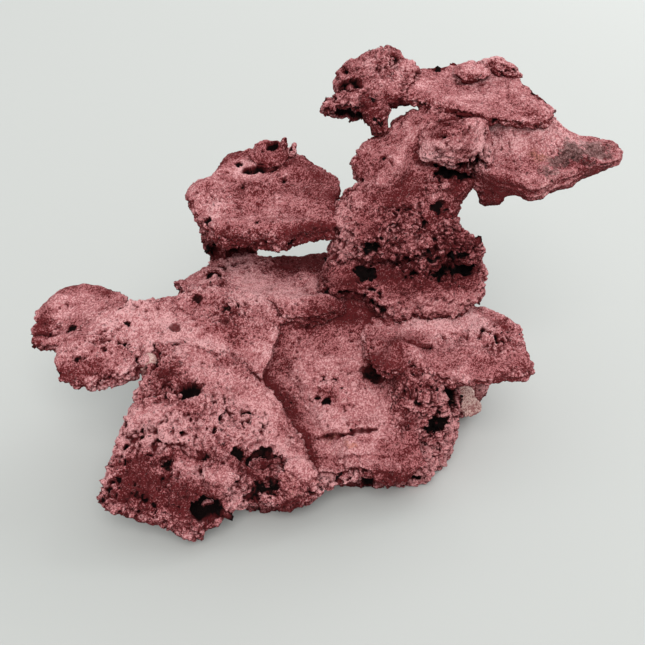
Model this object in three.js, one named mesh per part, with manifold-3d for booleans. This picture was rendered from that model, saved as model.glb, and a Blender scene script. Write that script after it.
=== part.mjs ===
// Aquarium reef rock: slabs and rubble of porous reef stone, laid one on another and bonded into
// a low base, a leaning column and two tiers of overhanging shelves.
// Millimetres, +Z up, +X to the right, +Y to the back. The floor is z = 0.

import * as THREE from 'three';
import { mergeVertices } from 'three/addons/utils/BufferGeometryUtils.js';
import Module from 'manifold-3d';

const wasm = await Module();
wasm.setup();

// Driving dimensions, mm
const MIDDLE = [1.1, 5.8]; // middle of the rock's footprint, which becomes the origin
const SEAT_GAP = 0.4; // clearance left where one stone beds on another
const RIM_TOP = 0.15; // share of the thickness by which the top rounds down at the rim
const RIM_BOTTOM = 0.3; // share by which the underside rounds up at the rim
const RIM_POWER = 6; // the higher, the flatter a slab stays up to its rim
const FLOOR_BLOCK = [900, 900, 200]; // size of the block that trims foot stones level

// Crust colours
const ROSE = 0xa8686a;
const PALE_ROSE = 0xb57a7c;
const DUSK = 0x8f5859;
const DARK = 0x6e3d40;
const MORTAR = 0xd9b3b0;

const keepOuts = []; // what later stones stay clear of
const rock = new THREE.Group();
rock.position.set(-MIDDLE[0], -MIDDLE[1], 0);

// --- Shapes ---------------------------------------------------------------------------------

// Curve through the points, read from 0 to 1 along its length
function edgeCurve(points) {
  const path = points.map(([x, y, z = 0]) => new THREE.Vector3(x, y, z));
  return new THREE.CatmullRomCurve3(path, false, 'centripetal');
}

// Surface between four edges that run round a stone: front, right, back and left.
// Each edge starts at a corner and ends where the next edge starts.
function patchBetween(edges) {
  const curves = edges.map((points, i) => edgeCurve([...points, edges[(i + 1) % 4][0]]));
  const [front, right, back, left] = curves;
  const corners = curves.map((curve) => curve.getPointAt(0));
  return (u, v) => {
    const point = new THREE.Vector3();
    point.addScaledVector(front.getPointAt(u), 1 - v);
    point.addScaledVector(back.getPointAt(1 - u), v);
    point.addScaledVector(left.getPointAt(1 - v), 1 - u);
    point.addScaledVector(right.getPointAt(v), u);
    point.addScaledVector(corners[0], -(1 - u) * (1 - v));
    point.addScaledVector(corners[1], -u * (1 - v));
    point.addScaledVector(corners[2], -u * v);
    point.addScaledVector(corners[3], -(1 - u) * v);
    return point;
  };
}

// Value between the front left, front right, back right and back left corners
function between([frontLeft, frontRight, backRight, backLeft], u, v) {
  return (1 - v) * ((1 - u) * frontLeft + u * frontRight) + v * ((1 - u) * backLeft + u * backRight);
}

// Slow rise and fall of a worn face
function swell(x, y, phase) {
  return Math.sin(x / 13 + phase) * Math.cos(y / 11 - 2 * phase) + 0.5 * Math.sin(x / 7 - y / 9 + 3 * phase);
}

// Rounded rises: each lump is [x, y, radius, height], and a hollow has a height below 0
function lumpHeight(lumps, x, y) {
  let height = 0;
  for (const [cx, cy, radius, rise] of lumps) {
    height += rise * Math.exp(-((x - cx) ** 2 + (y - cy) ** 2) / radius ** 2);
  }
  return height;
}

// Skin of one stone in its own frame. The edges lie on the top face; the body hangs below it.
// Lumps rise from the top and drops hang from the underside; a peak narrows the stone upwards,
// and a bulge pulls in its top and bottom edges, both as shares of its half width.
function stoneSkin(shape) {
  const { edges, cells, thick, crown = 0, peak = 0, bulge = 0, rough, lumps = [], drops = [], phase } = shape;
  const patch = patchBetween(edges);
  const skin = new THREE.BoxGeometry(2, 2, 2, ...cells);
  const places = skin.getAttribute('position');
  for (let i = 0; i < places.count; i += 1) {
    const [s, t, w] = [places.getX(i), places.getY(i), places.getZ(i)];
    const inset = (1 - bulge * w * w) * (1 - peak * (1 + w) / 2);
    const u = (1 + s * inset) / 2;
    const v = (1 + t * inset) / 2;
    const middle = patch(u, v);
    const full = Math.sqrt((1 - s ** RIM_POWER) * (1 - t ** RIM_POWER));
    const depth = between(thick, u, v);
    const top = middle.z + crown * (1 - s * s) * (1 - t * t) + lumpHeight(lumps, middle.x, middle.y)
      + rough * swell(middle.x, middle.y, phase) - RIM_TOP * depth * (1 - full);
    const bottom = middle.z - depth * (1 - RIM_BOTTOM * (1 - full)) - lumpHeight(drops, middle.x, middle.y)
      + rough * swell(middle.y, middle.x, phase + 2);
    places.setXYZ(i, middle.x, middle.y, bottom + (top - bottom) * (w + 1) / 2);
  }
  return closed(skin);
}

// --- Solids ---------------------------------------------------------------------------------

// Geometry with one vertex per corner, as joining and cutting need it
function closed(geometry) {
  geometry.deleteAttribute('normal');
  geometry.deleteAttribute('uv');
  return mergeVertices(geometry, 1e-4);
}

function toSolid(geometry) {
  return new wasm.Manifold(new wasm.Mesh({
    numProp: 3,
    vertProperties: new Float32Array(geometry.getAttribute('position').array),
    triVerts: new Uint32Array(geometry.getIndex().array),
  }));
}

function toGeometry(solid) {
  const mesh = solid.getMesh();
  const geometry = new THREE.BufferGeometry();
  geometry.setAttribute('position', new THREE.BufferAttribute(mesh.vertProperties, 3));
  geometry.setIndex(new THREE.BufferAttribute(mesh.triVerts, 1));
  return geometry;
}

// A skin moved outwards by the seat gap
function grown(skin) {
  const geometry = skin.clone();
  geometry.computeVertexNormals();
  const places = geometry.getAttribute('position');
  const normals = geometry.getAttribute('normal');
  for (let i = 0; i < places.count; i += 1) {
    places.setXYZ(
      i,
      places.getX(i) + SEAT_GAP * normals.getX(i),
      places.getY(i) + SEAT_GAP * normals.getY(i),
      places.getZ(i) + SEAT_GAP * normals.getZ(i),
    );
  }
  return geometry;
}

// The body with the most volume, without crumbs that a cut leaves over
function largest(solid) {
  const pieces = solid.decompose();
  return pieces.reduce((best, piece) => (piece.volume() > best.volume() ? piece : best));
}

// Hollow: a rounded pit of the given radius and depth, [x, y, z, radius, depth] in the stone's frame
function pit([x, y, z, radius, depth]) {
  const ball = new THREE.IcosahedronGeometry(1, 1);
  ball.scale(radius, radius, depth);
  ball.translate(x, y, z);
  return closed(ball);
}

function floorBlock() {
  const block = new THREE.BoxGeometry(...FLOOR_BLOCK);
  block.translate(0, 0, -FLOOR_BLOCK[2] / 2);
  return toSolid(closed(block));
}

// Sets a stone in place: at and turn place it, pits are sunk into it, foot stones are trimmed
// level, and it is bedded against the stones that are there already.
function setStone(name, colour, { at, turn = [0, 0, 0], pits = [], foot = false, ...shape }) {
  const angles = turn.map((angle) => THREE.MathUtils.degToRad(angle));
  const mesh = new THREE.Mesh();
  mesh.name = name;
  mesh.position.set(...at);
  mesh.rotation.set(...angles);
  mesh.updateMatrix();
  const skin = stoneSkin(shape).applyMatrix4(mesh.matrix);
  let solid = toSolid(skin);
  for (const hollow of pits) {
    solid = solid.subtract(toSolid(pit(hollow).applyMatrix4(mesh.matrix)));
  }
  if (foot) {
    solid = solid.subtract(floorBlock());
  }
  for (const keepOut of keepOuts) {
    solid = solid.subtract(keepOut);
  }
  keepOuts.push(toSolid(skin), toSolid(grown(skin)));
  mesh.geometry = toGeometry(largest(solid)).applyMatrix4(mesh.matrix.clone().invert());
  mesh.material = new THREE.MeshStandardMaterial({ color: colour, roughness: 0.95, metalness: 0 });
  rock.add(mesh);
}

// --- Lower tier -----------------------------------------------------------------------------

// Dished apron that slopes down to the front
setStone('centre_slab', DUSK, {
  at: [13, -35, 73],
  turn: [40, 0, 0],
  edges: [
    [[-22, -71], [4, -68], [15, -62], [39, -67]],
    [[62, -55], [58, -36], [53, -11], [48, 15], [44, 44]],
    [[34, 71], [4, 74], [-28, 72]],
    [[-46, 64], [-60, 8], [-40, -37]],
  ],
  cells: [9, 10, 1],
  thick: [14, 15, 22, 22],
  crown: -7,
  rough: 1.2,
  lumps: [[22, -52, 14, 3], [40, 20, 14, 3]],
  pits: [[25, 15, 0, 8, 6], [-10, 4, -5, 6, 3], [2, -32, -3, 16, 2]],
  phase: 0.4,
});

// Thin shelf over the right side
setStone('right_shelf', ROSE, {
  at: [95, -10, 97],
  turn: [14, 4, 0],
  edges: [
    [[-64, -12], [-50, -28], [-34, -26], [-13, -31], [3, -35], [39, -28]],
    [[61, -21], [58, 7], [56, 25]],
    [[43, 29], [35, 39], [22, 45], [-12, 46], [-35, 44]],
    [[-58, 30], [-63, 10]],
  ],
  cells: [9, 6, 1],
  thick: [13, 10, 9, 14],
  crown: 1,
  rough: 1.5,
  lumps: [[-36, -6, 17, 6], [10, -4, 12, 3], [36, 8, 14, 2]],
  pits: [[-20, 2, 1, 8, 4]],
  phase: 1.7,
});

// Broad slab with a lobe out to the left
setStone('left_slab', PALE_ROSE, {
  at: [-79, -12, 107],
  turn: [30, 4, 0],
  edges: [
    [[-110, -38], [-97, -43], [-76, -40], [-62, -37], [-48, -20], [-34, -10], [-12, -9], [12, -18]],
    [[35, -34], [39, -20], [46, 2]],
    [[52, 26], [24, 39], [-13, 39], [-35, 31]],
    [[-59, 20], [-86, 19], [-102, 1], [-113, -16]],
  ],
  cells: [12, 6, 1],
  thick: [14, 16, 20, 16],
  crown: 3,
  rough: 2,
  lumps: [[-10, 8, 14, 4], [22, 6, 12, 3], [-72, -12, 16, 3]],
  pits: [[-30, 4, 1, 8, 4], [6, 22, 1, 9, 4], [-92, -30, 0, 6, 4]],
  phase: 2.6,
});

// Thick porous block that hangs over the front left
setStone('front_block', DUSK, {
  at: [-77, -66, 66],
  turn: [40, 8, 0],
  edges: [
    [[-77, -56], [-64, -60], [-43, -66], [-15, -77], [10, -58], [35, -53], [56, -55]],
    [[79, -45], [70, -25], [61, -9], [47, 16]],
    [[33, 34], [8, 54], [-16, 59]],
    [[-41, 58], [-49, 35], [-55, 15], [-60, 4], [-67, -23]],
  ],
  cells: [9, 8, 1],
  thick: [18, 22, 26, 26],
  crown: 5,
  rough: 2,
  lumps: [[-10, -46, 16, 6], [55, -38, 14, 4], [-38, 0, 14, 3], [30, -30, 11, -6]],
  pits: [[-19, 26, 6, 9, 8], [-8, -63, 2, 13, 11], [36, -32, 2, 12, 8], [-59, -48, 2, 9, 7]],
  phase: 3.5,
});

// Thin plate behind the lobe, out at the far left
setStone('far_left_plate', ROSE, {
  at: [-182, 21, 108],
  turn: [16, -4, 0],
  edges: [
    [[-36, -30], [-20, -33], [4, -42], [28, -42]],
    [[50, -34], [48, -13]],
    [[40, 0], [23, 19], [4, 27], [-12, 26]],
    [[-27, 16], [-37, 6], [-37, -16]],
  ],
  cells: [7, 6, 1],
  thick: [13, 14, 12, 11],
  crown: 2,
  rough: 1,
  lumps: [[-14, 6, 14, 2]],
  pits: [[-14, -17, 1, 5, 4]],
  phase: 4.1,
});

// Level slab behind the middle, with a spike at its left end
setStone('back_slab', DUSK, {
  at: [-49, 50, 122],
  turn: [6, 0, 0],
  edges: [
    [[-55, -22], [-33, -29], [-6, -26], [20, -46], [32, -50], [47, -48]],
    [[66, -38], [68, -7]],
    [[60, 30], [31, 29], [4, 29], [-18, 34]],
    [[-40, 31], [-42, 16], [-52, 2], [-62, -8]],
  ],
  cells: [9, 6, 1],
  thick: [15, 15, 18, 16],
  crown: -1,
  rough: 1.3,
  lumps: [[-38, 4, 12, 4], [10, -26, 14, 4]],
  pits: [[-22, 14, 1, 7, 4], [-28, -10, 1, 7, 4]],
  phase: 5.2,
});

// --- Column ---------------------------------------------------------------------------------

// Porous stone the column stands on
setStone('column_foot', DARK, {
  at: [62, 18, 134],
  turn: [66, 0, 0],
  edges: [
    [[-62, -14], [-40, -12], [-15, -28], [19, -30], [44, -26]],
    [[60, -15], [62, 5]],
    [[56, 18], [33, 16], [-4, 14], [-41, 18]],
    [[-58, 16], [-64, 4]],
  ],
  cells: [9, 4, 2],
  thick: [40, 44, 40, 38],
  crown: 3,
  bulge: 0.05,
  rough: 3,
  lumps: [[-44, 4, 12, 4], [10, -6, 12, 4], [44, 0, 10, -4]],
  pits: [[-28, -2, 3, 8, 7], [14, 12, 2, 14, 14], [40, 12, 0, 12, 12]],
  phase: 0.9,
});

// Porous stone above it; a dark cave runs between the two
setStone('column_stone', DARK, {
  at: [61, 30, 173],
  turn: [66, 0, 0],
  edges: [
    [[-56, -32], [-38, -26], [-18, -24], [10, -26], [34, -26]],
    [[57, -28], [59, -14]],
    [[43, 0], [28, 12], [0, 20], [-34, 24]],
    [[-52, 20], [-55, 0]],
  ],
  cells: [9, 4, 2],
  thick: [38, 40, 36, 36],
  crown: 4,
  bulge: 0.05,
  rough: 3,
  lumps: [[-30, 4, 12, 4], [24, 2, 10, -4], [-2, 2, 10, 3]],
  pits: [[-22, -18, 3, 10, 9], [10, -24, 2, 14, 16], [38, -20, 1, 12, 12], [14, 2, 4, 6, 5]],
  phase: 1.3,
});

// Small lump caught in the cave
setStone('cave_rubble', DARK, {
  at: [80, 26, 153],
  turn: [50, 0, 20],
  edges: [
    [[-11, -8], [0, -11]],
    [[10, -8], [13, 0]],
    [[9, 8], [0, 11]],
    [[-10, 8], [-13, 0]],
  ],
  cells: [3, 3, 1],
  thick: [15, 15, 15, 15],
  crown: 3,
  bulge: 0.2,
  rough: 1,
  phase: 2.2,
});

// Slab that leans up and back
setStone('upper_column', DUSK, {
  at: [64, 52, 214],
  turn: [58, 0, 0],
  edges: [
    [[-48, -46], [-29, -55], [-9, -54], [0, -46], [8, -53], [18, -52]],
    [[31, -46], [39, -30], [47, -15]],
    [[51, 4], [48, 24], [28, 40], [2, 40]],
    [[-23, 24], [-36, 14], [-41, 1], [-37, -12], [-45, -20]],
  ],
  cells: [8, 8, 1],
  thick: [26, 28, 30, 22],
  crown: 3,
  rough: 1.8,
  lumps: [[-18, -6, 16, 3], [24, -14, 12, 4]],
  pits: [[-10, -38, 2, 9, 8], [28, -38, 1, 6, 5], [18, 12, 3, 5, 4]],
  phase: 3.1,
});

// Bumpy stone that carries the top shelves
setStone('neck_stone', DUSK, {
  at: [100, 46, 236],
  turn: [45, 10, 0],
  edges: [
    [[-26, -10], [-10, -14], [10, -16]],
    [[25, -17], [28, -4], [26, 10]],
    [[22, 26], [-1, 26]],
    [[-20, 22], [-27, 4]],
  ],
  cells: [6, 6, 2],
  thick: [34, 36, 34, 32],
  crown: 6,
  bulge: 0.1,
  rough: 2.5,
  lumps: [[-14, 4, 8, 4], [8, 6, 9, 3]],
  pits: [[-17, 2, 7, 6, 6], [20, -10, 3, 8, 8]],
  phase: 4.8,
});

// --- Shelves --------------------------------------------------------------------------------

// Rough lump that props the upper left shelf
setStone('shelf_prop', DARK, {
  at: [-80, 78, 178],
  edges: [
    [[-14, -12], [4, -10], [16, 2]],
    [[30, 4], [32, 12]],
    [[28, 20], [6, 22]],
    [[-13, 18], [-16, 2]],
  ],
  cells: [5, 4, 4],
  thick: [60, 60, 60, 60],
  bulge: 0.08,
  rough: 2.5,
  pits: [[12, -6, -36, 10, 16]],
  phase: 0.2,
});

// Shelf with a ring-shaped knob near its back edge
setStone('upper_left_shelf', ROSE, {
  at: [-43, 58, 187],
  turn: [18, -2, 0],
  edges: [
    [[-43, -31], [-29, -44], [-17, -41], [-7, -46], [8, -49], [33, -40]],
    [[50, -36], [53, -12], [51, -4]],
    [[57, 10], [52, 22], [33, 40], [20, 48], [-12, 56]],
    [[-27, 53], [-38, 38], [-40, 27], [-59, 12], [-60, 1]],
  ],
  cells: [10, 8, 1],
  thick: [16, 14, 13, 13],
  crown: 3,
  rough: 1.4,
  lumps: [[-9, 10, 10, 6], [2, 44, 12, 10], [24, 8, 14, -4]],
  pits: [[3, 48, 9, 6, 5], [-24, 12, 4, 4, 4]],
  phase: 1.1,
});

// Layered crag at the top left
setStone('top_left_crag', DUSK, {
  at: [31, 88, 262],
  turn: [30, 0, 0],
  edges: [
    [[-33, -18], [-25, -24], [-8, -28], [6, -32]],
    [[17, -28], [20, -14], [32, -14], [36, -1]],
    [[43, 16], [30, 30], [27, 39], [5, 34], [-13, 22]],
    [[-21, 10], [-20, 0], [-25, -11]],
  ],
  cells: [7, 7, 2],
  thick: [14, 20, 28, 22],
  crown: 5,
  bulge: 0.06,
  rough: 2.5,
  lumps: [[12, 20, 10, 5], [-12, 6, 9, 3], [-4, -14, 14, -4]],
  pits: [[-15, 10, 6, 6, 6], [-8, 2, 6, 5, 5]],
  phase: 2.9,
});

// Smooth shelf at the top, with a disc lump and a low wall at the back
setStone('top_shelf', PALE_ROSE, {
  at: [117, 92, 256],
  turn: [16, 4, 0],
  edges: [
    [[-57, -14], [-34, -20], [-11, -25], [18, -32]],
    [[35, -34], [50, -27], [52, -12]],
    [[46, -6], [38, 8], [31, 26], [29, 42], [0, 37]],
    [[-23, 26], [-42, 25], [-58, 16], [-53, 0]],
  ],
  cells: [9, 7, 1],
  thick: [14, 13, 12, 14],
  crown: -1,
  rough: 0.8,
  lumps: [[-4, 28, 11, 8], [21, 32, 9, 9]],
  phase: 3.9,
});

// Wedge-shaped shelf that runs out to a point at the right
setStone('upper_right_shelf', PALE_ROSE, {
  at: [160, 60, 218],
  turn: [16, 0, 0],
  edges: [
    [[-46, -12], [-38, -27], [-20, -32], [-4, -39], [10, -32], [23, -21], [42, -15]],
    [[59, -6], [62, 6]],
    [[56, 18], [31, 29], [13, 35], [-32, 48]],
    [[-60, 48], [-66, 26], [-58, 8]],
  ],
  cells: [10, 6, 1],
  thick: [13, 10, 10, 16],
  crown: 2,
  rough: 1.2,
  lumps: [[-50, 10, 14, 4], [-14, -18, 12, 3]],
  drops: [[-36, -20, 10, 18]],
  phase: 5.6,
});

// --- Foot -----------------------------------------------------------------------------------

// Rubble stone under the front lip of the centre slab
setStone('base_front', DARK, {
  at: [44, -38, 34],
  edges: [
    [[-40, -22], [-14, -26], [14, -28]],
    [[38, -24], [44, 0]],
    [[40, 26], [0, 28]],
    [[-38, 26], [-44, 0]],
  ],
  cells: [6, 5, 2],
  thick: [38, 38, 38, 38],
  bulge: 0.08,
  rough: 2,
  foot: true,
  pits: [[-10, -26, -26, 8, 7], [26, -26, -24, 7, 6]],
  phase: 1.9,
});

// Ridged chunk under the right shelf
setStone('base_right', DARK, {
  at: [82, -14, 88],
  edges: [
    [[-30, -34], [-12, -38], [10, -34]],
    [[20, -26], [23, 0]],
    [[20, 34], [0, 36]],
    [[-28, 34], [-32, 0]],
  ],
  cells: [4, 5, 4],
  thick: [94, 94, 94, 94],
  bulge: 0.08,
  rough: 2.5,
  foot: true,
  pits: [[20, -26, -22, 10, 12], [4, -38, -34, 9, 9]],
  phase: 2.4,
});

// Mortar squeezed out between the two right-hand foot stones
setStone('mortar_strip', MORTAR, {
  at: [110, 0, 46],
  turn: [70, 0, 35],
  edges: [
    [[-8, -20], [4, -22]],
    [[9, -18], [8, 0]],
    [[9, 18], [0, 22]],
    [[-9, 18], [-7, 0]],
  ],
  cells: [2, 4, 1],
  thick: [10, 10, 10, 10],
  rough: 0.8,
  phase: 0.6,
});

// Tall rear foot, under the column and the back slab
setStone('base_rear', DARK, {
  at: [50, 50, 106],
  edges: [
    [[-76, -34], [-30, -36], [20, -38], [60, -38]],
    [[88, -26], [92, 4]],
    [[76, 36], [30, 42], [-40, 40]],
    [[-74, 32], [-84, 0]],
  ],
  cells: [7, 5, 4],
  thick: [110, 110, 110, 110],
  peak: 0.3,
  bulge: 0.06,
  rough: 3.5,
  foot: true,
  pits: [[40, 40, -50, 16, 18], [-30, 40, -70, 14, 14]],
  phase: 3.3,
});

// Dark stone under the front block
setStone('front_foot', DARK, {
  at: [-36, -62, 40],
  edges: [
    [[-24, -26], [0, -30]],
    [[22, -24], [26, 0]],
    [[22, 26], [0, 30]],
    [[-24, 26], [-28, 0]],
  ],
  cells: [5, 5, 3],
  thick: [44, 44, 44, 44],
  bulge: 0.1,
  rough: 2,
  foot: true,
  phase: 4.4,
});

export default rock;
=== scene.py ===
import math
from functools import partial
from itertools import product
import bpy
import numpy as np
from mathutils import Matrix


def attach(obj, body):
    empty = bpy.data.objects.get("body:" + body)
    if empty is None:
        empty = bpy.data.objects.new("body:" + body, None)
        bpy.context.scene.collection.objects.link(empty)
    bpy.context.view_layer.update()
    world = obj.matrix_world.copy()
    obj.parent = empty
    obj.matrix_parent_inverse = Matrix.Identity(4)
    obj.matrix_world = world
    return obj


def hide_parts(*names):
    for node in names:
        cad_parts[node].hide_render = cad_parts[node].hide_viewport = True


# Aquarium reef rock: a heap of porous, rose coloured reef stones with a sandy crust.
# Stones are worked out in millimetres in their own frame, then laid in the frame in metres.

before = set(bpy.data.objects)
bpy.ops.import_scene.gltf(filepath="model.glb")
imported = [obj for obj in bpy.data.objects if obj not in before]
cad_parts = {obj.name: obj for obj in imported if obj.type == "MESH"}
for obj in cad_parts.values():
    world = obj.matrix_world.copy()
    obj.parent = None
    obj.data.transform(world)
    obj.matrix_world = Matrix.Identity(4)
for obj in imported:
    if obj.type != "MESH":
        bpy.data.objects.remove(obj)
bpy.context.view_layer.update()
print("frame loaded,", len(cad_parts), "nodes")

rockSettings = {
    "middle": (1.1, 5.8),   # mm, middle of the footprint, which is the origin
    "grainStep": 0.72,      # mm between the points of a stone's surface
    "seamFill": 1.8,        # mm by which the crust swells where two stones meet
    "apart": (97, 61, 43),  # mm, times a stone's phase, by which its noise is shifted
    "seed": 11,
}


# --- camera and light
# Metres and degrees. The lens is 992 pixels long, on a sensor 36 mm and 645 pixels wide.
viewSettings = {"place": (-0.0011, -0.6264, 0.5130), "tilt": 57.0, "lens": 992 * 36 / 645}
lampSettings = {
    "key": {"turn": (42, 4, 0), "strength": 2.0, "spread": 40, "colour": (1.0, 0.985, 0.97)},
    "side": {"place": (2.2, 2.1, 2.0), "turn": (-36, 48, 0), "size": 2.0, "power": 55.0,
             "colour": (0.98, 0.99, 1.0)},
    "world": ((0.86, 0.88, 0.87), 0.84),
}


def setCamera():
    lens = bpy.data.cameras.new("roomCamera")
    lens.type = "PERSP"
    lens.sensor_width = 36.0
    lens.lens = viewSettings["lens"]
    lens.clip_start, lens.clip_end = 0.01, 30.0
    camera = bpy.data.objects.new("roomCamera", lens)
    camera.location = viewSettings["place"]
    camera.rotation_euler = (math.radians(viewSettings["tilt"]), 0, 0)
    bpy.context.scene.collection.objects.link(camera)
    bpy.context.scene.camera = camera


def hangLamp(name, kind, lamp):
    light = bpy.data.lights.new(name, kind)
    light.color = lamp["colour"]
    hung = bpy.data.objects.new(name, light)
    hung.rotation_euler = [math.radians(angle) for angle in lamp["turn"]]
    bpy.context.scene.collection.objects.link(hung)
    return light, hung


def lightRoom():
    key, side = lampSettings["key"], lampSettings["side"]
    light, hung = hangLamp("keySoftbox", "SUN", key)
    light.energy, light.angle = key["strength"], math.radians(key["spread"])
    light, hung = hangLamp("sideSoftbox", "AREA", side)
    light.shape, light.size, light.energy = "SQUARE", side["size"], side["power"]
    hung.location = side["place"]
    world = bpy.data.worlds.new("paleRoom")
    world.use_nodes = True
    sky = world.node_tree.nodes["Background"]
    colour, strength = lampSettings["world"]
    sky.inputs["Color"].default_value = (*colour, 1)
    sky.inputs["Strength"].default_value = strength
    bpy.context.scene.world = world
    bpy.context.scene.view_settings.view_transform = "Standard"


setCamera()
lightRoom()
print("camera and soft light set")


# --- noise, read at points given in mm
dice = np.random.default_rng(rockSettings["seed"])
mixTable = np.tile(dice.permutation(256), 2).astype(np.int32)
slopeTable = dice.normal(size=(256, 3)).astype(np.float32)
slopeTable /= np.linalg.norm(slopeTable, axis=1, keepdims=True)
seatTable = dice.random((256, 3), dtype=np.float32)


def cornerNumber(cell, i, j, k):
    # A number from 0 to 255 for one corner of a cube, mixed from the corner's three whole coordinates
    plane = mixTable[(cell[:, 0] + i) & 255]
    column = mixTable[plane + ((cell[:, 1] + j) & 255)]
    return mixTable[column + ((cell[:, 2] + k) & 255)]


def drift(points, size, seed=0):
    # Gradient noise: a random slope stands at each corner of cubes of the size, and the eight
    # slopes round a point are blended with 6x^5 - 15x^4 + 10x^3. About -0.7 to 0.7.
    place = (points / size + seed * 19.37).astype(np.float32)
    cell = np.floor(place).astype(np.int32)
    part = place - cell
    ease = part ** 3 * (part * (part * 6 - 15) + 10)
    total = np.zeros(len(points), np.float32)
    for i, j, k in product((0, 1), repeat=3):
        slope = slopeTable[cornerNumber(cell, i, j, k)]
        rise = ((part - np.array((i, j, k), np.float32)) * slope).sum(1)
        share = (ease[:, 0] if i else 1 - ease[:, 0]) * (ease[:, 1] if j else 1 - ease[:, 1])
        total += rise * share * (ease[:, 2] if k else 1 - ease[:, 2])
    return total


def drifts(points, size, *seeds):
    # Several noises of one size side by side, to push points about with
    return np.stack([drift(points, size, seed) for seed in seeds], 1)


def nodules(points, size, seed=0):
    # One seed point lies at random in each cube of the size. Gives the distance to the nearest
    # seed and how much farther the second is, both as shares of the size.
    place = (points / size + seed * 7.91).astype(np.float32)
    cell = np.floor(place).astype(np.int32)
    first = np.full(len(points), 9, np.float32)
    second = first.copy()
    for i, j, k in product((-1, 0, 1), repeat=3):
        seat = cell + np.array((i, j, k), np.int32) + seatTable[cornerNumber(cell, i, j, k)]
        away = ((place - seat) ** 2).sum(1)
        second = np.minimum(second, np.maximum(first, away))
        first = np.minimum(first, away)
    return np.sqrt(first), np.sqrt(second) - np.sqrt(first)


def ramp(value, low, high):
    # Smooth step from 0 at low to 1 at high
    share = np.clip((value - low) / (high - low), 0, 1)
    return share * share * (3 - 2 * share)


# --- the surface of a stone
def edgeLine(points, share):
    # Curve through the points, each stretch a cubic whose pace follows the square root of the
    # distance between its points, read by its length from 0 to 1.
    dots = np.array([(*point, 0)[:3] for point in points], float)
    dots = np.vstack([2 * dots[0] - dots[1], dots, 2 * dots[-1] - dots[-2]])
    pace = np.maximum(np.linalg.norm(np.diff(dots, axis=0), axis=1), 1e-6) ** 0.5
    run = np.linspace(0, 1, 40)[:, None]
    line = []
    for n in range(1, len(dots) - 2):
        a, b, c, d = dots[n - 1:n + 3]
        p, q, r = pace[n - 1:n + 2]
        leave = ((b - a) / p - (c - a) / (p + q) + (c - b) / q) * q
        reach = ((c - b) / q - (d - b) / (q + r) + (d - c) / r) * q
        line.append(b + leave * run + (3 * (c - b) - 2 * leave - reach) * run ** 2
                    + (2 * (b - c) + leave + reach) * run ** 3)
    line = np.vstack(line)
    length = np.concatenate([[0], np.cumsum(np.linalg.norm(np.diff(line, axis=0), axis=1))])
    return np.stack([np.interp(share * length[-1], length, line[:, axis]) for axis in range(3)], 1)


def patchPlace(edges, u, v):
    # Coons patch: the straight blend between front and back, plus that between left and right,
    # less the blend of the four corners. Each edge ends where the next one starts.
    front, right, back, left = [list(edge) + [edges[(n + 1) % 4][0]] for n, edge in enumerate(edges)]
    corner = [edgeLine(edge, np.zeros(1)) for edge in (front, right, back, left)]
    u, v = u[:, None], v[:, None]
    place = edgeLine(front, u[:, 0]) * (1 - v) + edgeLine(back, 1 - u[:, 0]) * v
    place += edgeLine(left, 1 - v[:, 0]) * (1 - u) + edgeLine(right, v[:, 0]) * u
    place -= corner[0] * (1 - u) * (1 - v) + corner[1] * u * (1 - v)
    place -= corner[2] * u * v + corner[3] * (1 - u) * v
    return place


def swell(x, y, phase):
    # Slow rise and fall: one wave across and along, and half as much of a quicker slanting one
    return np.sin(x / 13 + phase) * np.cos(y / 11 - 2 * phase) + 0.5 * np.sin(x / 7 - y / 9 + 3 * phase)


def boxLattice(across, along, deep):
    # Points on the six faces of a box of cells, as s, t, w from -1 to 1, and the faces' quads
    number = np.full((across + 1, along + 1, deep + 1), -1, np.int64)
    skin = np.ones(number.shape, bool)
    skin[1:-1, 1:-1, 1:-1] = False
    number[skin] = np.arange(skin.sum())
    i, j, k = np.nonzero(skin)
    places = 2 * i / across - 1, 2 * j / along - 1, 2 * k / deep - 1

    def quads(side, flip):
        cells = np.stack([side[:-1, :-1], side[1:, :-1], side[1:, 1:], side[:-1, 1:]], -1).reshape(-1, 4)
        return cells[:, ::-1] if flip else cells

    faces = [quads(number[:, :, -1], False), quads(number[:, :, 0], True),
             quads(number[:, 0, :], False), quads(number[:, -1, :], True),
             quads(number[-1, :, :], False), quads(number[0, :, :], True)]
    return places, np.vstack(faces)


def stoneBody(stone, s, t, w):
    # The edges lie on the top face and the body hangs below it. The top is the patch plus a crown
    # of (1 - s^2)(1 - t^2), its rises and the slow swell; the underside lies the thickness below.
    # Both round off towards the rim as sqrt((1 - s^6)(1 - t^6)), and the walls join them straight.
    bulge, peak = stone.get("bulge", 0), stone.get("peak", 0)
    inset = (1 - bulge * w * w) * (1 - peak * (1 + w) / 2)
    u, v = (1 + s * inset) / 2, (1 + t * inset) / 2
    middle = patchPlace(stone["edges"], u, v)
    flat = middle * (1, 1, 0) + 31 * stone["phase"]
    for size, reach in ((15, 2.6), (6, 1.5)):
        middle[:, :2] += reach * drifts(flat, size, 41, 42)
    x, y, z = middle.T
    full = np.sqrt(np.clip((1 - s ** 6) * (1 - t ** 6), 0, 1))
    a, b, c, d = np.broadcast_to(stone["thick"], 4)
    depth = (1 - v) * ((1 - u) * a + u * b) + v * ((1 - u) * d + u * c)
    rough, phase = stone["rough"], stone["phase"]
    top = z + stone.get("crown", 0) * (1 - s * s) * (1 - t * t) + rough * swell(x, y, phase)
    top += topRises(stone, x, y) - 0.15 * depth * (1 - full)
    low = z - depth * (1 - 0.3 * (1 - full)) + rough * swell(y, x, phase + 2)
    for cx, cy, radius, drop in stone.get("drops", []):
        low -= drop * bell(x, y, cx, cy, radius)
    return np.stack([x, y, low + (top - low) * (w + 1) / 2], 1)


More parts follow.
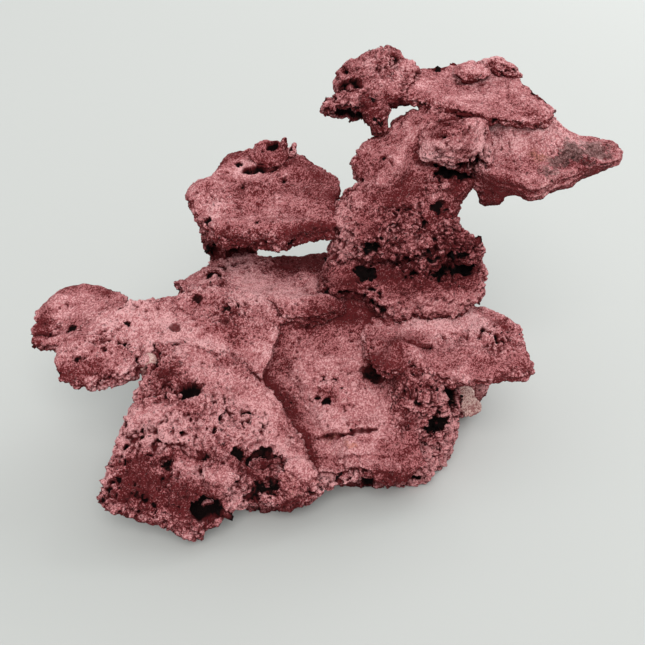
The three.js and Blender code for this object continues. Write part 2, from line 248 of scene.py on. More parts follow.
def bell(x, y, cx, cy, radius):
    # 1 in the middle, and less outwards as exp(-(distance / radius)^2)
    return np.exp(-((x - cx) ** 2 + (y - cy) ** 2) / radius ** 2)


def lineGap(x, y, x0, y0, x1, y1):
    # Distance to the stretch from one end to the other
    run = (x1 - x0) ** 2 + (y1 - y0) ** 2
    share = np.clip(((x1 - x0) * (x - x0) + (y1 - y0) * (y - y0)) / run, 0, 1)
    return np.hypot(x - x0 - share * (x1 - x0), y - y0 - share * (y1 - y0))


def lineBell(x, y, x0, y0, x1, y1, width):
    # The same fall beside a stretch
    return np.exp(-(lineGap(x, y, x0, y0, x1, y1) / width) ** 2)


def topRises(stone, x, y):
    # Lumps are round rises of height * exp(-(distance / radius)^2), and ridges the same along a line.
    # Discs are flat with steep sides, rings are a rim round a hollow, and a step lifts all that lies
    # left of its line. A height below 0 sinks.
    flat = np.stack([x, y, np.full(len(x), 10 * stone["phase"])], 1)
    x, y = x + 3 * drift(flat, 8, 21), y + 3 * drift(flat, 8, 22)
    rise = np.zeros(len(x))
    for cx, cy, radius, height in stone.get("lumps", []):
        rise += height * bell(x, y, cx, cy, radius)
    for cx, cy, radius, height in stone.get("discs", []):
        rise += height * (1 - ramp(np.hypot(x - cx, y - cy) / radius, 0.75, 1.05))
    for cx, cy, radius, width, height in stone.get("rings", []):
        rise += height * np.exp(-((np.hypot(x - cx, y - cy) - radius) / width) ** 2)
    for x0, y0, x1, y1, width, height in stone.get("ridges", []):
        rise += height * lineBell(x, y, x0, y0, x1, y1, width)
    for x0, y0, x1, y1, height, soft in stone.get("steps", []):
        run = np.hypot(x1 - x0, y1 - y0)
        left = ((x1 - x0) * (y - y0) - (y1 - y0) * (x - x0)) / run
        along = ((x1 - x0) * (x - x0) + (y1 - y0) * (y - y0)) / run ** 2
        ends = ramp(along, -0.15, 0.1) * (1 - ramp(along, 0.9, 1.15))
        rise += height * ramp(left, -soft, soft) * np.exp(-np.maximum(left, 0) / 30) * ends
    return rise


def normalsOf(points, faces):
    # Each quad's normal is the cross product of its diagonals, and a point takes the sum of its quads'
    corners = points[faces]
    cross = np.cross(corners[:, 2] - corners[:, 0], corners[:, 3] - corners[:, 1])
    total = np.zeros_like(points)
    for axis in range(3):
        spread = np.repeat(cross[:, axis], 4)
        total[:, axis] = np.bincount(faces.ravel(), spread, len(points))
    return total / np.maximum(np.linalg.norm(total, axis=1, keepdims=True), 1e-9)


hollowSettings = {
    "squash": (0.85, 1.1, 1),           # longer along X than along Y
    "ragged": 0.9, "fineRagged": 0.45,  # how much slow and fine noise move the rim
    "mouth": (0.4, 1),                  # shares of the radius, from full depth to none
    "overhang": 0.25,                   # share by which it widens half way down
}


def sinkHollow(points, normals, hollow, seed):
    # A ragged pit: points nearer than the radius go in along the mean normal, by the depth times
    # a smooth step, and half way down they spread sideways, so that the mouth overhangs.
    shape = hollowSettings
    x, y, z, radius, depth, ragged = (*hollow, 1.0)[:6]
    offset = points - (x, y, z)
    away = np.linalg.norm(offset * shape["squash"], axis=1) / radius
    away = away * (1 + shape["ragged"] * ragged * drift(points, radius * 0.8, seed))
    away = away + shape["fineRagged"] * ragged * drift(points, radius * 0.3 + 1, seed + 1)
    share = 1 - ramp(away, *shape["mouth"])
    way = (normals * share[:, None]).sum(0)
    way /= max(np.linalg.norm(way), 1e-9)
    side = offset - (offset @ way)[:, None] * way
    spread = shape["overhang"] * np.sin(np.pi * share)[:, None]
    return points - share[:, None] * depth * way + side * spread, share


def sinkGroove(points, normals, groove, seed):
    # A crack or, with a depth below 0, a ridge: the same step across a line from one end to the other
    x0, y0, x1, y1, width, depth = groove
    start, run = np.array((x0, y0)), np.array((x1 - x0, y1 - y0))
    flat = points[:, :2] + 4.5 * drifts(points, 12, seed + 1, seed + 2)
    flat = flat + 1.8 * drifts(points, 4, seed + 4, seed + 5)
    along = np.clip(((flat - start) @ run) / (run @ run), 0, 1)
    away = np.linalg.norm(flat - start - along[:, None] * run, axis=1) / width
    share = (1 - ramp(away, 0.2, 1)) * ramp(normals[:, 2], 0.1, 0.5)
    share = share * np.clip(0.65 + 1.5 * drift(points, 6, seed + 3), 0, 1)
    return points - (share * depth)[:, None] * normals, share


def porousShare(stone, points, normals, t):
    # How crumbly the stone is at a point, 0 to 1: a base level on top, more on the walls, the
    # underside and the front rim, with patches, and slow noise that breaks up the borders
    wall = 1 - ramp(normals[:, 2], 0.15, 0.8)
    share = stone.get("topPorous", 0.2) + stone.get("wallPorous", 0.75) * wall
    share = share + stone.get("rimPorous", 0.35) * ramp(-t, 0.8, 1.0)
    for cx, cy, radius, amount in stone.get("patches", []):
        share = share + amount * bell(*points[:, :2].T, cx, cy, radius) * ramp(normals[:, 2], -0.1, 0.3)
    share = share + 0.55 * drift(points, 21, 3) + 0.35 * drift(points, 8, 4)
    return np.clip(share, 0, 1)


def billow(points, size, seed):
    # Humps with sharp creases between them: twice the noise without its sign, less 0.4
    return 2 * np.abs(drift(points, size, seed)) - 0.4


def stainShare(stone, points, kind):
    # Patches of another colour: exp(-(distance / radius)^2) broken up by noise
    share = np.zeros(len(points))
    for cx, cy, radius, amount in stone.get(kind, []):
        share += amount * bell(*points[:, :2].T, cx, cy, radius)
    return share * ramp(drift(points, 9, 51) + 0.6 * drift(points, 3, 52) + 0.35 * share, -0.25, 0.3)


# The crust's waves: mm from one rise to the next, the noise's number, and how it is stretched
crustWaves = {"broad": (32, 1), "rolling": (26, 6), "grain": (1.9, 16)}
warpedWaves = {
    "swell": (13, 15, (1, 1, 1)), "bit": (3.2, 5, (1, 1, 1)),
    "sheet": (5, 2, (0.5, 1, 1.6)), "layer": (4.5, 61, (0.3, 0.3, 1.6)),
}
crustSizes = {"hump": 10, "knob": 4.8, "crumb": 2.7, "vug": 10, "pore": 4.2, "speck": 2.6}  # mm
crustHeights = {  # mm
    "calm": {"broad": 4.2, "swell": 2.4, "sheet": 0.8, "bit": 0.3, "grain": 0.35},
    "crumbly": {"rolling": 4.5, "hump": 4.6, "knob": 5.0, "crumb": 2.4, "sheet": 1.2, "grain": 0.5},
    "wall": 2.4, "holes": {"vug": 5.2, "pore": 2.6, "crease": 2.6}, "speck": 2.3,
}
# Rises are lighter and dips darker: partly dust on the high points, partly painted shade in the dips.
crustLift = {  # how much lighter a rise is than a dip, where 1 is all the way from recess to dust
    "calm": {"broad": 0.4, "swell": 0.36, "sheet": 0.25},
    "crumbly": {"hump": 0.5, "knob": 0.45, "crumb": 0.2, "rolling": 0.5},
    "wall": 0.5, "grain": 0.16, "crumblyGrain": 0.12,
}


def blended(waves, shares, porous):
    # The calm waves where the crust is calm and the crumbly ones where it crumbles, each times its share
    calm, crumbly = [sum(share * waves[name] for name, share in shares[kind].items())
                     for kind in ("calm", "crumbly")]
    return calm * (1 - porous), crumbly * porous


def crustRelief(points, porous, wall, strength):
    # Height of the crust in mm. Calm parts have slow swells, low sheets and a little grain. Crumbly
    # parts have humps, and on them round knobs and crumbs, 0.36 less the square of the distance to
    # the nearest seed, with dark creases between, and holes wherever slow noise passes a limit.
    # Walls are lower and layered. Also gives how deep a point lies in a hole, and its lightness, which is
    # higher on rises and lower in dips: partly dust, partly painted shade.
    size, depths = crustSizes, crustHeights["holes"]
    warped = points + 2.4 * drifts(points, 6, 31, 32, 33)
    waves = {name: drift(points, *wave) for name, wave in crustWaves.items()}
    for name, (width, seed, stretch) in warpedWaves.items():
        waves[name] = drift(warped * np.array(stretch), width, seed)
    bit, layer = waves["bit"], waves["layer"]
    jagged = warped + 1.5 * np.stack([bit, drift(warped, 3, 34), drift(warped, 3, 35)], 1)
    knobGap, knobSeam = nodules(jagged * np.array((0.85, 0.85, 1.3)), size["knob"], 6)
    crumbGap = nodules(jagged, size["crumb"], 7)[0]
    patchy = np.clip(0.75 + 1.6 * drift(points, 14, 36), 0.25, 1.4)
    knob = (0.36 - knobGap ** 2) * patchy
    waves.update(hump=billow(warped, size["hump"], 6), knob=knob, crumb=0.36 - crumbGap ** 2)

    crease = (1 - ramp(knobSeam, 0.03, 0.3)) * ramp(drift(points, 8, 11) + 0.6 * bit, -0.1, 0.25)
    vug = ramp(drift(warped, size["vug"], 7) + 0.5 * bit + 0.25 * knob, 0.33, 0.48)
    pore = ramp(drift(warped, size["pore"], 8) - 0.3 * knob, 0.26, 0.42)
    speck = ramp(drift(points, size["speck"], 9), 0.22, 0.36) * ramp(drift(points, 13, 12), -0.12, 0.2)
    holes = depths["vug"] * vug + depths["pore"] * pore + depths["crease"] * crease
    holes = holes * ramp(porous, 0.3, 0.85) + crustHeights["speck"] * speck * (1 - 0.6 * porous)

    calm, crumbly = blended(waves, crustHeights, porous)
    height = (calm + crumbly) * (1 - 0.5 * wall) + crustHeights["wall"] * layer * wall - holes
    calm, crumbly = blended(waves, crustLift, porous)
    grainLift = crustLift["grain"] + crustLift["crumblyGrain"] * porous
    lift = 0.5 + calm + crumbly + grainLift * (bit + waves["grain"]) + crustLift["wall"] * layer * wall
    return height * strength, holes, np.clip(lift, 0, 1)


# Painted light and shade in the lightness mark: crust facets that face up are lighter and walls darker, as
# light from above; spots where other stone crowds in are darker as painted shade, and deep holes turn black
# as painted shadow.
paintedShadingSettings = {
    "blackDepth": 5.2,         # mm down in a crust hole that count as quite inside
    "pitMouth": (0.05, 0.75),  # share of a pit's depth over which its tone turns dark
    "slope": 0.4, "body": 0.8, "level": 0.12,  # lighter by slope * (crust's up - body * stone's up - level)
    "wall": 0.28,              # darker by up to this on walls
    "shelter": 0.35,           # darker by up to this where other surface crowds in, and there the
    "shelterInside": 0.32,     # mark for the insides of holes is up to this
    "limits": (-0.15, 0.86),
}


def carveStone(stone):
    # The whole stone, in its own frame: body, hollows, grooves, then the crust along the normals. The
    # marks tell the finish how deep inside a hole, how crumbly, how light and how stained a point is.
    # The lightness holds painted light and shade, and the inside mark paints shadow into holes.
    tone = paintedShadingSettings
    edges, step = stone["edges"], stone.get("grainStep", rockSettings["grainStep"])
    ends = np.array([edgeLine(list(edge) + [edges[(n + 1) % 4][0]], np.linspace(0, 1, 60))
                     for n, edge in enumerate(edges)])
    length = np.linalg.norm(np.diff(ends, axis=1), axis=2).sum(1)
    across, along = int((length[0] + length[2]) / 2 / step), int((length[1] + length[3]) / 2 / step)
    (s, t, w), faces = boxLattice(across, along, max(2, int(np.mean(stone["thick"]) / step)))
    points = stoneBody(stone, s, t, w)
    normals = normalsOf(points, faces)
    porous = porousShare(stone, points, normals, t)
    inside = np.zeros(len(points))
    for n, hollow in enumerate(stone.get("hollows", [])):
        points, share = sinkHollow(points, normals, hollow, n + stone["phase"])
        inside = np.maximum(inside, ramp(share, *tone["pitMouth"]) * min(1, 1.1 * hollow[4] / hollow[3]))
    for n, groove in enumerate(stone.get("grooves", [])):
        points, share = sinkGroove(points, normals, groove, n + stone["phase"])
        inside = np.maximum(inside, share * np.clip(groove[5] / 6, 0, 1))
    normals = normalsOf(points, faces)
    near = seamNearness(stone, points)
    shelter = shelterAt(stone, points, normals)
    porous = np.clip(porous + stone.get("seam", 0.3) * near, 0, 1)
    wall = 1 - ramp(normals[:, 2], 0.1, 0.7)
    place = points + np.array(rockSettings["apart"]) * stone["phase"]
    height, holes, lift = crustRelief(place, porous, wall, stone.get("crust", 1.0))
    points = points + normals * (height + rockSettings["seamFill"] * near * (1 - near / 2))[:, None]
    inside = np.clip(inside + holes / tone["blackDepth"], 0, 1)
    # Painted light and shade: facets that face up more than the stone are lighter, walls darker, crowded
    # spots darker, and the shade strokes darken or lighten along their lines.
    upright = placeNormals(stone, normalsOf(points, faces))[:, 2]
    smooth = placeNormals(stone, normals)[:, 2]
    lift = lift + tone["slope"] * (upright - tone["body"] * smooth - tone["level"])
    lift = lift - tone["wall"] * (1 - smooth) ** 2
    shelter = shelter * stone.get("shelter", 1)
    lift = lift - tone["shelter"] * shelter
    for x0, y0, x1, y1, width, amount in stone.get("shades", []):
        lift -= amount * lineBell(*points[:, :2].T, x0, y0, x1, y1, width)
    lift = np.clip(lift, *tone["limits"])
    inside = np.maximum(inside, tone["shelterInside"] * shelter ** 2)
    marks = {"inside": inside, "porous": porous, "lift": lift,
             "moss": stainShare(stone, points, "moss"), "ochre": stainShare(stone, points, "ochre")}
    return joinParts([(points, faces, marks), scatterCrumbs(stone, points, normals, marks, near)])


crumbSettings = {
    "perPoint": 0.0007,                  # grains for each point of the surface
    "smallest": 0.7, "largest": 1.9,     # radius in mm
    "mostSmall": 2.2,                    # the power that makes most of them small
    "stretch": 0.22, "lopsided": 0.3,    # how uneven their widths and their corners are
    "rise": 0.25, "riseShare": 0.15,     # how far the middle stands out, in mm and in radii
    # Grains take liftShare of the surface's lightness plus lighter; their upward sides are lighter by slope,
    # painted light from above. insideShare is the share of the inside mark they keep.
    "liftShare": 0.6, "lighter": 0.25, "slope": 0.22, "insideShare": 0.6,
}


def scatterCrumbs(stone, points, normals, marks, near):
    # Loose grains stuck to the crumbly parts and the joints: rounded boxes of a few dozen faces,
    # each with its own size and lopsided shape, half sunk in the surface
    crumb = crumbSettings
    count = int(len(points) * crumb["perPoint"])
    (s, t, w), faces = boxLattice(3, 3, 3)
    ball = np.stack([s, t, w], 1)
    ball /= np.linalg.norm(ball, axis=1, keepdims=True)
    draw = np.random.default_rng(int(stone["phase"] * 10))
    wish = (marks["porous"] ** 2 + 0.5 * near + 0.03) * (1 - 0.6 * marks["inside"])
    chosen = draw.choice(len(points), count, replace=False, p=wish / wish.sum())
    low, high = crumb["smallest"], crumb["largest"]
    radius = low + (high - low) * draw.random(count) ** crumb["mostSmall"]
    shape = draw.normal(1, crumb["stretch"], (count, 1, 3)) * radius[:, None, None]
    grains = ball[None] * shape * (1 + crumb["lopsided"] * draw.normal(size=(count, len(ball), 1)))
    grains += (points + normals * crumb["rise"])[chosen][:, None, :]
    grains += crumb["riseShare"] * radius[:, None, None] * normals[chosen][:, None, :]
    cells = faces[None] + (np.arange(count) * len(ball))[:, None, None]
    upward = placeNormals(stone, ball)[:, 2]
    lift = marks["lift"][chosen][:, None] * crumb["liftShare"] + crumb["lighter"]
    lift = lift + crumb["slope"] * upward[None]
    grainMarks = {mark: np.repeat(values[chosen], len(ball)) for mark, values in marks.items()}
    grainMarks["inside"] *= crumb["insideShare"]
    grainMarks["lift"] = np.clip(lift, 0, 1).ravel()
    return grains.reshape(-1, 3), cells.reshape(-1, 4), grainMarks


def joinParts(parts):
    # Puts separate surfaces one after another into one mesh
    points = np.vstack([part[0] for part in parts])
    starts = np.cumsum([0] + [len(part[0]) for part in parts[:-1]])
    faces = np.vstack([part[1] + start for part, start in zip(parts, starts)])
    marks = {mark: np.concatenate([part[2][mark] for part in parts]) for mark in parts[0][2]}
    return points, faces, marks


# Stones touch and are bonded together. A coarse grid tells how near each point lies to the others.
stoneGrid = {
    "cell": 2.0, "low": np.array((-260.0, -170.0, -20.0)),  # mm
    "size": (260, 170, 160), "reach": 3,                    # cells
    "ahead": 7, "crowded": (0.11, 0.33),                    # mm, and how full open and sheltered space is
}
stoneCells = {}


def placeOf(stone, points):
    return points @ turnMatrix(stone.get("turn", (0, 0, 0))).T + np.array(stone["at"], float)


def placeNormals(stone, normals):
    return normals @ turnMatrix(stone.get("turn", (0, 0, 0))).T


def markStone(name, stone):
    # The cells that the stone's plain body passes through
    (s, t, w), _ = boxLattice(110, 90, 36)
    body = placeOf(stone, stoneBody(stone, s, t, w))
    stoneCells[name] = np.floor((body - stoneGrid["low"]) / stoneGrid["cell"]).astype(int)
    stone["name"] = name


def readCells(field, spot):
    # The value of the field at a point, blended from the eight cells round it
    spot = np.clip(spot, 0, np.array(field.shape) - 2)
    cell = np.floor(spot).astype(int)
    part = spot - cell
    value = np.zeros(len(spot))
    for i, j, k in product((0, 1), repeat=3):
        share = np.abs(1 - i - part[:, 0]) * np.abs(1 - j - part[:, 1]) * np.abs(1 - k - part[:, 2])
        value += share * field[cell[:, 0] + i, cell[:, 1] + j, cell[:, 2] + k]
    return value


def seamNearness(stone, points):
    # 1 on another stone's surface, falling to 0 over the reach: the other stones' cells are marked 1,
    # and each pass gives a cell the highest of its six neighbours less one share
    here = (placeOf(stone, points) - stoneGrid["low"]) / stoneGrid["cell"] - 0.5
    low = np.floor(here.min(0)).astype(int) - 6
    high = np.floor(here.max(0)).astype(int) + 8
    field = np.zeros(high - low, np.float32)
    for name, cells in stoneCells.items():
        if name != stone["name"]:
            seen = cells[((cells >= low) & (cells < high)).all(1)] - low
            field[seen[:, 0], seen[:, 1], seen[:, 2]] = 1
    for _ in range(stoneGrid["reach"]):
        grown = field.copy()
        for axis in range(3):
            for shift in (1, -1):
                grown = np.maximum(grown, np.roll(field, shift, axis) - 1 / stoneGrid["reach"])
        field = grown
    return np.clip(readCells(field, here - low), 0, 1)


def crowdCells():
    # How full of stone surface the space is: the cells of all stones, averaged over 5 cells along
    # each direction, twice
    field = np.zeros(stoneGrid["size"], np.float32)
    for cells in stoneCells.values():
        seen = cells[((cells >= 0) & (cells < stoneGrid["size"])).all(1)]
        field[seen[:, 0], seen[:, 1], seen[:, 2]] = 1
    for axis in (0, 1, 2) * 2:
        field = sum(np.roll(field, shift, axis) for shift in (-2, -1, 0, 1, 2)) / 5
    return field


def shelterAt(stone, points, normals):
    # 0 where a point lies open, up to 1 where other surface crowds the space a little ahead of it
    if "crowd" not in stoneGrid:
        stoneGrid["crowd"] = crowdCells()
    ahead = placeOf(stone, points) + stoneGrid["ahead"] * placeNormals(stone, normals)
    crowd = readCells(stoneGrid["crowd"], (ahead - stoneGrid["low"]) / stoneGrid["cell"] - 0.5)
    return ramp(crowd, *stoneGrid["crowded"])


def turnMatrix(turn):
    a, b, c = [math.radians(angle) for angle in turn]
    aboutX = np.array([[1, 0, 0], [0, math.cos(a), -math.sin(a)], [0, math.sin(a), math.cos(a)]])
    aboutY = np.array([[math.cos(b), 0, math.sin(b)], [0, 1, 0], [-math.sin(b), 0, math.cos(b)]])
    aboutZ = np.array([[math.cos(c), -math.sin(c), 0], [math.sin(c), math.cos(c), 0], [0, 0, 1]])
    return aboutX @ aboutY @ aboutZ


def meshPiece(name, points, faces, marks, finish):
    mesh = bpy.data.meshes.new(name)
    mesh.vertices.add(len(points))
    mesh.vertices.foreach_set("co", (points / 1000).astype(np.float32).ravel())
    mesh.loops.add(faces.size)
    mesh.loops.foreach_set("vertex_index", faces.ravel().astype(np.int32))
    mesh.polygons.add(len(faces))
    mesh.polygons.foreach_set("loop_start", np.arange(0, faces.size, faces.shape[1], dtype=np.int32))
    mesh.update(calc_edges=True)
    mesh.polygons.foreach_set("use_smooth", np.ones(len(faces), bool))
    for mark, values in marks.items():
        mesh.attributes.new(mark, "FLOAT", "POINT").data.foreach_set("value", values.astype(np.float32))
    mesh.validate()
    piece = bpy.data.objects.new(name, mesh)
    piece.data.materials.append(finish)
    bpy.context.scene.collection.objects.link(piece)
    return piece


stones = {}


def lumpStone(at, size, turn, phase, **more):
    # A small rounded stone of that width, length and height, centred on the point, as an extra
    a, b, c = [half / 2 for half in size]
    return {
        "at": at, "turn": turn, "phase": phase,
        "edges": [[(-0.7 * a, -0.8 * b, c), (0, -b, c)], [(0.72 * a, -0.75 * b, c), (a, 0, c)],
                  [(0.7 * a, 0.78 * b, c), (0, b, c)], [(-0.74 * a, 0.7 * b, c), (-a, 0, c)]],
        "thick": 2 * c, "crown": 0.35 * c, "bulge": 0.22, "rough": 0.06 * min(size), "seam": 0, **more,
    }


def layStone(name, node, slot, stone):
    markStone(name, stone)
    stones[name] = (node, slot, stone)


def carveHeap():
    for name, (node, slot, stone) in stones.items():
        parts = []
        for piece in (stone, *stone.get("extras", [])):
            piece["name"] = name
            points, faces, marks = carveStone(piece)
            parts.append((placeOf(piece, points), faces, marks))
        points, faces, marks = joinParts(parts)
        points[:, :2] -= rockSettings["middle"]
        if stone.get("foot"):
            points[:, 2] = np.maximum(points[:, 2], 0)
        piece = meshPiece(name, points, faces, marks, crustFinish[slot])
        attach(piece, "root")
        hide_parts(node)
        print("carved", name, 2 * len(faces), "triangles")


# --- finishes
# The high point colour is partly dust and partly painted light on tops and rises. The recess colour is
# partly darker rock and partly painted shade in dips, on walls and between stones. The pit colour is near
# black, painted shadow in holes, grooves and pores.
crustColours = {  # as shown on screen, 0 to 255: high points, crust, recesses, pits, light grains
    "rose_crust": {"dustAndPaintedLight": (234, 174, 176), "crust": (182, 110, 113), "deep": (100, 32, 35),
                   "pit": (14, 1, 1), "grain": (252, 216, 214)},
    "dusk_crust": {"dustAndPaintedLight": (228, 166, 168), "crust": (176, 104, 107), "deep": (94, 28, 31),
                   "pit": (12, 1, 1), "grain": (250, 210, 208)},
    "porous_rubble": {"dustAndPaintedLight": (216, 150, 152), "crust": (162, 90, 93), "deep": (86, 24, 27),
                      "pit": (10, 1, 1), "grain": (242, 194, 192)},
    "mortar": {"dustAndPaintedLight": (236, 206, 198), "crust": (222, 184, 176), "deep": (160, 104, 102),
               "pit": (100, 50, 50), "grain": (240, 216, 208)},
}
stainColours = {"moss": (112, 88, 84), "ochre": (196, 120, 102)}
toneNoises = {  # size in mm, detail, roughness and stretch
    "slow": (34, 3, 0.6), "patch": (7, 4, 0.65, (0.7, 1, 1.2)), "streak": (1.9, 3, 0.6, (0.65, 1, 1)),
    "grain": (1.3, 2, 0.6), "fine": (0.9, 2, 0.6), "pore": (3, 3, 0.65),
}
crustGrain = {
    "sandSize": 0.85, "sand": (-0.3, 0.22),                      # mm, darker and lighter by
    "slow": 0.12, "patch": 0.06, "streak": 0.22, "grain": 0.22,  # darker or lighter by
    "bumpHeight": 0.0014, "bumpStrength": 1.0,                   # metres, and a share
    "roughness": 0.95, "sheen": 0.15,
}


def linear(colour):
    share = np.array(colour, float) / 255
    return (*np.where(share <= 0.04045, share / 12.92, ((share + 0.055) / 1.055) ** 2.4), 1.0)


def addNode(tree, kind, settings=None, **inputs):
    # Inputs are given by name, or as i and their number, with a value or another node's output
    node = tree.nodes.new(kind)
    for key, value in (settings or {}).items():
        setattr(node, key, value)
    for key, value in inputs.items():
        socket = node.inputs[int(key[1:])] if key[0] == "i" and key[1:].isdigit() else node.inputs[key]
        if isinstance(value, bpy.types.NodeSocket):
            tree.links.new(value, socket)
        else:
            socket.default_value = value
    return node


def noiseAt(tree, place, size, detail, rough, stretch=None):
    # Noise with features of about the size in mm, from the piece's own coordinates
    if stretch:
        place = addNode(tree, "ShaderNodeMapping", Vector=place, Scale=stretch).outputs["Vector"]
    return addNode(tree, "ShaderNodeTexNoise", Vector=place, Scale=1000 / size, Detail=detail,
                   Roughness=rough).outputs["Fac"]


def stepAt(tree, value, low, high, start=0.0, end=1.0):
    # From start at low to end at high, as the ramp above
    return addNode(tree, "ShaderNodeMapRange", {"interpolation_type": "SMOOTHSTEP"}, i0=value, i1=low,
                   i2=high, i3=start, i4=end).outputs["Result"]


def swayAt(tree, value, reach, edge=0.3):
    # Noise turned into a change of at most the reach, up or down
    return stepAt(tree, value, edge, 1 - edge, -reach, reach)


def blendAt(tree, share, one, other):
    return addNode(tree, "ShaderNodeMix", {"data_type": "RGBA"}, i0=share, i6=one, i7=other).outputs[2]


def markAt(tree, mark):
    return addNode(tree, "ShaderNodeAttribute", {"attribute_name": mark}).outputs["Fac"]


def sumAt(tree, one, other, kind="ADD"):
    return addNode(tree, "ShaderNodeMath", {"operation": kind}, i0=one, i1=other).outputs[0]


def makeCrust(name, colours):
    # Lightness is the lift mark plus noises, so it carries the lift mark's painted light and shade. It runs
    # from deep through crust to the high point colour, with light and dark grains. Crumbly parts get small
    # pores in the black pit colour, and the inside mark paints shadow in holes, turning to deep and then to
    # pit.
    finish = bpy.data.materials.new(name)
    finish.use_nodes = True
    tree = finish.node_tree
    shader = tree.nodes["Principled BSDF"]
    step, sway, blend, plus = [partial(recipe, tree) for recipe in (stepAt, swayAt, blendAt, sumAt)]
    times = partial(plus, kind="MULTIPLY")
    place = addNode(tree, "ShaderNodeTexCoord").outputs["Object"]
    inside, porous, lift = [markAt(tree, mark) for mark in ("inside", "porous", "lift")]
    dustAndPaintedLight, crust, deep = [linear(colours[key]) for key in ("dustAndPaintedLight", "crust", "deep")]
    pit, light = linear(colours["pit"]), linear(colours["grain"])
    noise = {key: noiseAt(tree, place, *values) for key, values in toneNoises.items()}
    sand = addNode(tree, "ShaderNodeTexVoronoi", Vector=place, Scale=1000 / crustGrain["sandSize"])

    height = plus(lift, sway(noise["slow"], crustGrain["slow"]))
    height = plus(height, sway(noise["patch"], crustGrain["patch"]))
    coarse = sway(noise["streak"], crustGrain["streak"])
    coarse = plus(coarse, sway(noise["grain"], crustGrain["grain"], 0.35))
    height = plus(height, times(coarse, step(porous, 0.1, 0.8, 0.25, 1.0)))
    height = plus(height, step(sand.outputs["Color"], 0.15, 0.85, *crustGrain["sand"]))

    colour = blend(step(height, 0.0, 0.45), deep, crust)
    colour = blend(step(height, 0.45, 1.0), colour, dustAndPaintedLight)
    lightGrain = plus(noise["fine"], step(height, 0.2, 0.9, 0, 0.08))
    colour = blend(step(lightGrain, 0.62, 0.74, 0.0, 0.35), colour, light)
    darkGrain = plus(noise["grain"], step(height, 0.2, 0.9, 0, 0.1))
    colour = blend(step(darkGrain, 0.38, 0.3, 0.0, 0.35), colour, deep)
    pores = times(step(noise["pore"], 0.41, 0.35), step(porous, 0.0, 0.8, 0.15, 0.9))
    colour = blend(pores, colour, pit)
    # Painted shadow in holes: the inside mark turns the colour to deep, then to the near black pit colour.
    colour = blend(step(inside, 0.05, 0.5), colour, deep)
    paintedHoleShadow = plus(inside, sway(noise["patch"], 0.15))
    colour = blend(step(paintedHoleShadow, 0.3, 0.82), colour, pit)
    for stain, tone in stainColours.items():
        share = plus(markAt(tree, stain), sway(noise["patch"], 0.2))
        share = plus(share, sway(noise["streak"], 0.3))
        # Painted shade: each stain turns down to 0.45 of its colour in the dips.
        shaded = linear([part * 0.45 for part in tone])
        tint = blend(step(height, 0.1, 0.9), shaded, linear(tone))
        colour = blend(step(share, 0.25, 1.0, 0.0, 0.75), colour, tint)
    tree.links.new(colour, shader.inputs["Base Color"])

    rises = plus(noise["streak"], plus(noise["grain"], noise["fine"]))
    bump = addNode(tree, "ShaderNodeBump", Height=rises, Strength=crustGrain["bumpStrength"],
                   Distance=crustGrain["bumpHeight"])
    tree.links.new(bump.outputs["Normal"], shader.inputs["Normal"])
    shader.inputs["Roughness"].default_value = crustGrain["roughness"]
    shader.inputs["Specular IOR Level"].default_value = crustGrain["sheen"]
    return finish


crustFinish = {slot: makeCrust(slot.replace("_c", "C").replace("_r", "R"), colours)
               for slot, colours in crustColours.items()}
print("finishes mixed:", ", ".join(crustFinish))


# --- the stones, in mm and degrees
# A stone's own frame stands at "at" and is turned by "turn". Its edges run round the top face, front,
# right, back and left, and "thick" is for all corners, or for each from the front left on. "crown"
# lifts the middle, "rough" is the height of the slow swell, "bulge" draws in the top and the bottom,
# "peak" the top only, and a "foot" is cut level at the floor. "topPorous" says how crumbly the top is,
# where 1 is the most, and "wallPorous" and "rimPorous" how much more so the walls and the front rim
# are. "crust" and "shelter" are shares of the usual, "shelter" that of the painted shade where other
# stones crowd in, "phase" makes each stone's noise its own, and "extras" are small stones stuck on.
# lumps, discs: x, y, radius, height       rings: x, y, radius, width, height
# ridges: x0, y0, x1, y1, width, height    steps: x0, y0, x1, y1, height, softness
# hollows: x, y, z, radius, depth, ragged  grooves: x0, y0, x1, y1, width, depth
# drops: x, y, radius, lower by            patches: x, y, radius, more crumbly by
# shades, painted shade, and painted light below 0: x0, y0, x1, y1, width, darker by
# moss, ochre: x, y, radius, share

